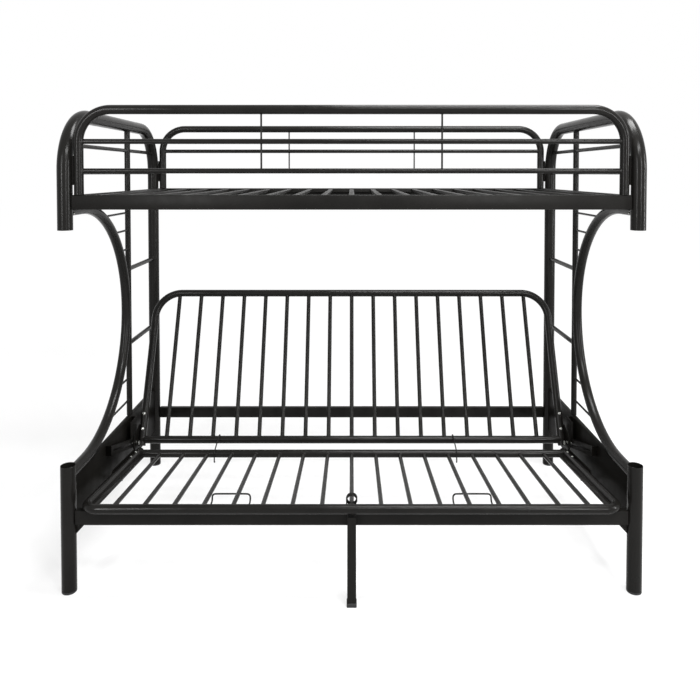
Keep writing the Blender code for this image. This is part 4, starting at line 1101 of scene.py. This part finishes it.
class BUNKBED_OT_welds(bpy.types.Operator):
    """Lay the weld beads of the frame and of the futon"""

    bl_idname = "bunkbed.welds"
    bl_label = "Welds"

    def execute(self, context):
        settings = context.scene.bunk_bed
        self.weld_frame(settings)
        self.weld_guards(settings)
        self.weld_futon(settings)
        return {"FINISHED"}

    def weld_frame(self, settings):
        """Beads of the ladders, the half moons and the end guards."""
        sizes = settings.frame
        bead = settings.detail.bead
        shape = bmesh.new()
        for name, side in SIDES.items():
            x = side * POST_X
            front_post = (Vector((x, FRONT_Y, 0.0)), UP, POST_RADIUS)
            rear_post = (Vector((x, REAR_Y, 0.0)), UP, POST_RADIUS)
            ladder = (Vector((x, LADDER_Y, 0.0)), UP, LADDER_RADIUS)
            for height in (C_TOP, C_BOTTOM):
                spot = Vector((x, FRONT_Y, height))
                add_weld(shape, spot, -REARWARD, C_RADIUS, front_post, C_BEAD_SHARE * bead)
            for height in SPOKE_HEIGHTS:
                spot = Vector((x, LADDER_Y, height))
                add_weld(shape, spot, REARWARD, sizes.spoke_radius, ladder, bead)
            top = (Vector((x, 0.0, HOOP_TOP)), REARWARD, POST_RADIUS)
            add_weld(shape, Vector((x, LADDER_Y, HOOP_TOP)), UP, LADDER_RADIUS, top, bead)
            for place in ("lower", "upper"):
                height = middle(f"{name}_ladder_rung_{place}").z
                spot = Vector((x, LADDER_Y, height))
                add_weld(shape, spot, -REARWARD, RUNG_RADIUS, ladder, bead)
                spot = Vector((x, REAR_Y, height))
                add_weld(shape, spot, REARWARD, RUNG_RADIUS, rear_post, bead)
                height = middle(f"{name}_end_guard_{place}").z
                spot = Vector((x, LADDER_Y, height))
                for course in (REARWARD, -REARWARD):
                    add_weld(shape, spot, course, END_GUARD_RADIUS, ladder, bead)
        add_piece("frame_welds", shape, "frame", "weld_coat")

    def weld_guards(self, settings):
        """Beads of the long guards' bars and upright wires."""
        sizes = settings.frame
        bead = settings.detail.bead
        shape = bmesh.new()
        for y in (FRONT_Y, REAR_Y):
            for height in (GUARD_LOW_BAR, GUARD_LOW_BAR + sizes.guard_bar_pitch):
                for side in SIDES.values():
                    leg = (Vector((side * GUARD_X, y, 0.0)), UP, GUARD_RADIUS)
                    spot = Vector((side * GUARD_X, y, height))
                    add_weld(shape, spot, side * ALONG, GUARD_BAR_RADIUS, leg, bead)
            top = (Vector((0.0, y, GUARD_TOP)), ALONG, GUARD_RADIUS)
            for side in SIDES.values():
                spot = Vector((side * sizes.guard_wire_offset, y, GUARD_TOP))
                add_weld(shape, spot, UP, sizes.guard_wire_radius, top, WIRE_BEAD_SHARE * bead)
        add_piece("guard_welds", shape, "frame", "weld_coat")

    def weld_futon(self, settings):
        """Beads of the futon's slats."""
        futon = settings.futon
        bead = settings.detail.bead
        x = SEAT_TUBE_X - futon.tube_radius
        width = x - futon.tube_radius - futon.strip_width
        rear = Vector((0.0, -futon.seat_rear, -futon.offset))
        front = Vector((0.0, -futon.seat_front, -futon.offset))
        slats = (futon_places(width, futon.seat_slat, futon.slat_pitch), futon.seat_slat)
        seat = self.weld_slats(slats, x - futon.seat_bend, rear, front, futon.tube_radius, bead)
        place_shape(seat, seat_axes(futon))
        add_piece("seat_welds", seat, "seat", "weld_coat")
        x = BACK_TUBE_X - futon.tube_radius
        width = x - futon.tube_radius
        low_end = Vector((0.0, futon.offset, futon.back_low))
        high_end = Vector((0.0, futon.offset, futon.back_high))
        slats = (futon_places(width, futon.back_slat, futon.slat_pitch), futon.back_slat)
        straight = x - futon.back_bend
        back = self.weld_slats(slats, straight, low_end, high_end, futon.tube_radius, bead)
        place_shape(back, back_axes(futon))
        add_piece("back_welds", back, "back", "weld_coat")

    def weld_slats(self, slats, straight, near, far, tube_radius, bead):
        """Beads at both ends of a row of slats, but for slats that end in the far tube's bends."""
        places, slat_radius = slats
        near_heading = (near - far).normalized()
        shape = bmesh.new()
        for place in places:
            across = ALONG * place
            host = (near, ALONG, tube_radius)
            add_weld(shape, near + across, near_heading, slat_radius, host, bead)
            if abs(place) < straight:
                host = (far, ALONG, tube_radius)
                add_weld(shape, far + across, -near_heading, slat_radius, host, bead)
        return shape


# Lamps: place, point aimed at, size and power in watts
LAMPS = {
    "overhead_softbox": ((0.9, -0.3, 3.7), (0.9, -0.1, 1.0), (2.0, 0.9), 190.0),
    "high_front_strip": ((0.9, -2.4, 3.2), (0.3, 0.1, 1.0), (1.8, 0.3), 90.0),
    "front_strip": ((1.9, -3.7, 2.0), (0.3, 0.0, 0.9), (0.2, 1.6), 60.0),
    "right_strip": ((3.6, -1.2, 1.5), (0.0, 0.0, 1.0), (0.25, 1.8), 60.0),
    "left_strip": ((-2.0, -3.3, 1.9), (-0.6, 0.0, 1.0), (0.2, 1.8), 60.0),
}
ROOM_LIGHT = 0.4
FLOOR_HALF_WIDTH = 30.0
# The floor's own glow makes up for the lamps' light, which falls off with distance
FLOOR_GLOW_NEAR = 1.0
FLOOR_GLOW_FAR = 1.28
FLOOR_GLOW_REACH = 7.0
FLOOR_GLOW_SHARE = 0.7
WHITE = (1.0, 1.0, 1.0, 1.0)


def seen_directly(tree):
    """One where a ray comes from the camera, a gloss or a clear surface, else zero."""
    path = tree.nodes.new("ShaderNodeLightPath")
    first = tree.nodes.new("ShaderNodeMath")
    first.operation = "MAXIMUM"
    second = tree.nodes.new("ShaderNodeMath")
    second.operation = "MAXIMUM"
    tree.links.new(path.outputs["Is Camera Ray"], first.inputs[0])
    tree.links.new(path.outputs["Is Glossy Ray"], first.inputs[1])
    tree.links.new(first.outputs[0], second.inputs[0])
    tree.links.new(path.outputs["Is Transmission Ray"], second.inputs[1])
    return second.outputs[0]


class BUNKBED_OT_stage(bpy.types.Operator):
    """Set up the floor, the white room, the lamps and the camera"""

    bl_idname = "bunkbed.stage"
    bl_label = "Stage"

    def execute(self, context):
        scene = context.scene
        settings = scene.bunk_bed
        scene.view_settings.view_transform = "Standard"
        self.lay_floor(settings.colours)
        self.paint_room(scene)
        self.hang_lamps(scene)
        self.place_camera(scene, settings.stage)
        return {"FINISHED"}

    def lay_floor(self, colours):
        """A wide pale floor that shows white to the camera and keeps a soft shadow."""
        shape = bmesh.new()
        bmesh.ops.create_grid(shape, x_segments=1, y_segments=1, size=FLOOR_HALF_WIDTH)
        mesh = bpy.data.meshes.new("studio_floor")
        shape.to_mesh(mesh)
        shape.free()
        floor = bpy.data.objects.new("studio_floor", mesh)
        bpy.context.scene.collection.objects.link(floor)
        mesh.materials.append(self.floor_paint(colours))

    def floor_paint(self, colours):
        """Pale paint, with a glow for rays that see it directly, which rises with distance."""
        material = bpy.data.materials.new("studio_floor")
        material.use_nodes = True
        tree = material.node_tree
        tree.nodes.clear()
        paint = tree.nodes.new("ShaderNodeBsdfDiffuse")
        paint.inputs["Color"].default_value = (*colours.floor, 1.0)
        glow = tree.nodes.new("ShaderNodeEmission")
        glow.inputs["Color"].default_value = WHITE
        place = tree.nodes.new("ShaderNodeTexCoord")
        distance = tree.nodes.new("ShaderNodeVectorMath")
        distance.operation = "LENGTH"
        rise = tree.nodes.new("ShaderNodeMapRange")
        rise.interpolation_type = "SMOOTHSTEP"
        rise.inputs["From Max"].default_value = FLOOR_GLOW_REACH
        rise.inputs["To Min"].default_value = FLOOR_GLOW_NEAR
        rise.inputs["To Max"].default_value = FLOOR_GLOW_FAR
        tree.links.new(place.outputs["Object"], distance.inputs[0])
        tree.links.new(distance.outputs["Value"], rise.inputs["Value"])
        tree.links.new(rise.outputs["Result"], glow.inputs["Strength"])
        share = tree.nodes.new("ShaderNodeMath")
        share.operation = "MULTIPLY"
        share.inputs[1].default_value = FLOOR_GLOW_SHARE
        blend = tree.nodes.new("ShaderNodeMixShader")
        output = tree.nodes.new("ShaderNodeOutputMaterial")
        tree.links.new(seen_directly(tree), share.inputs[0])
        tree.links.new(share.outputs[0], blend.inputs[0])
        tree.links.new(paint.outputs[0], blend.inputs[1])
        tree.links.new(glow.outputs[0], blend.inputs[2])
        tree.links.new(blend.outputs[0], output.inputs["Surface"])
        return material

    def paint_room(self, scene):
        """White where it is seen or mirrored, and dim where it only lights the bed."""
        world = bpy.data.worlds.new("studio_room")
        world.use_nodes = True
        tree = world.node_tree
        background = tree.nodes["Background"]
        strength = tree.nodes.new("ShaderNodeMapRange")
        strength.inputs["To Min"].default_value = ROOM_LIGHT
        strength.inputs["To Max"].default_value = 1.0
        tree.links.new(seen_directly(tree), strength.inputs["Value"])
        tree.links.new(strength.outputs[0], background.inputs["Strength"])
        background.inputs["Color"].default_value = WHITE
        scene.world = world

    def hang_lamps(self, scene):
        """One lamp over the bed, one high before it, and upright strips round its front."""
        for name, (place, aim, size, power) in LAMPS.items():
            lamp = bpy.data.lights.new(name, "AREA")
            lamp.shape = "RECTANGLE"
            lamp.size, lamp.size_y = size
            lamp.energy = power
            holder = bpy.data.objects.new(name, lamp)
            holder.location = place
            course = Vector(aim) - Vector(place)
            holder.rotation_euler = course.to_track_quat("-Z", "Y").to_euler()
            scene.collection.objects.link(holder)

    def place_camera(self, scene, stage):
        """The photograph's view."""
        lens = bpy.data.cameras.new("photo_view")
        lens.lens = stage.camera_lens
        lens.shift_x = stage.shift_x
        lens.shift_y = stage.shift_y
        camera = bpy.data.objects.new("photo_view", lens)
        camera.location = (0.0, FRONT_Y - stage.camera_distance, stage.camera_height)
        camera.rotation_euler = (QUARTER - stage.camera_tilt, 0.0, 0.0)
        scene.collection.objects.link(camera)
        scene.camera = camera


OPERATORS = (
    BUNKBED_OT_end_hoops,
    BUNKBED_OT_front_legs,
    BUNKBED_OT_feet,
    BUNKBED_OT_c_tubes,
    BUNKBED_OT_ladders,
    BUNKBED_OT_panels,
    BUNKBED_OT_rails,
    BUNKBED_OT_guards,
    BUNKBED_OT_middle_leg,
    BUNKBED_OT_wires,
    BUNKBED_OT_seat,
    BUNKBED_OT_back,
    BUNKBED_OT_brackets,
    BUNKBED_OT_bolts,
    BUNKBED_OT_welds,
    BUNKBED_OT_stage,
)


class BUNKBED_PT_sidebar(bpy.types.Panel):
    """Lists the bed's steps and settings"""

    bl_idname = "BUNKBED_PT_sidebar"
    bl_label = "Bunk Bed"
    bl_space_type = "VIEW_3D"
    bl_region_type = "UI"
    bl_category = "Bunk Bed"

    def draw(self, context):
        settings = context.scene.bunk_bed
        groups = (settings.colours, settings.frame, settings.futon, settings.detail, settings.stage)
        for group in groups:
            box = self.layout.box()
            for field in type(group).__annotations__:
                box.prop(group, field)
        for operator in OPERATORS:
            self.layout.operator(operator.bl_idname)


CLASSES = (
    BedFrameSizes,
    BedFutonSizes,
    BedDetailSizes,
    BedColours,
    BedStage,
    BunkBedSettings,
    *OPERATORS,
    BUNKBED_PT_sidebar,
)


def register():
    """Register the classes and the scene's settings."""
    for entry in CLASSES:
        bpy.utils.register_class(entry)
    bpy.types.Scene.bunk_bed = bpy.props.PointerProperty(type=BunkBedSettings)


def unregister():
    """Remove the settings and the classes."""
    del bpy.types.Scene.bunk_bed
    for entry in reversed(CLASSES):
        bpy.utils.unregister_class(entry)


def main():
    """Build the whole scene."""
    register()
    bpy.ops.bunkbed.end_hoops()
    bpy.ops.bunkbed.front_legs()
    bpy.ops.bunkbed.feet()
    bpy.ops.bunkbed.c_tubes()
    bpy.ops.bunkbed.ladders()
    bpy.ops.bunkbed.panels()
    bpy.ops.bunkbed.rails()
    bpy.ops.bunkbed.guards()
    bpy.ops.bunkbed.middle_leg()
    bpy.ops.bunkbed.wires()
    bpy.ops.bunkbed.seat()
    bpy.ops.bunkbed.back()
    bpy.ops.bunkbed.brackets()
    bpy.ops.bunkbed.bolts()
    bpy.ops.bunkbed.welds()
    bpy.ops.bunkbed.stage()


if __name__ == "__main__":
    main()
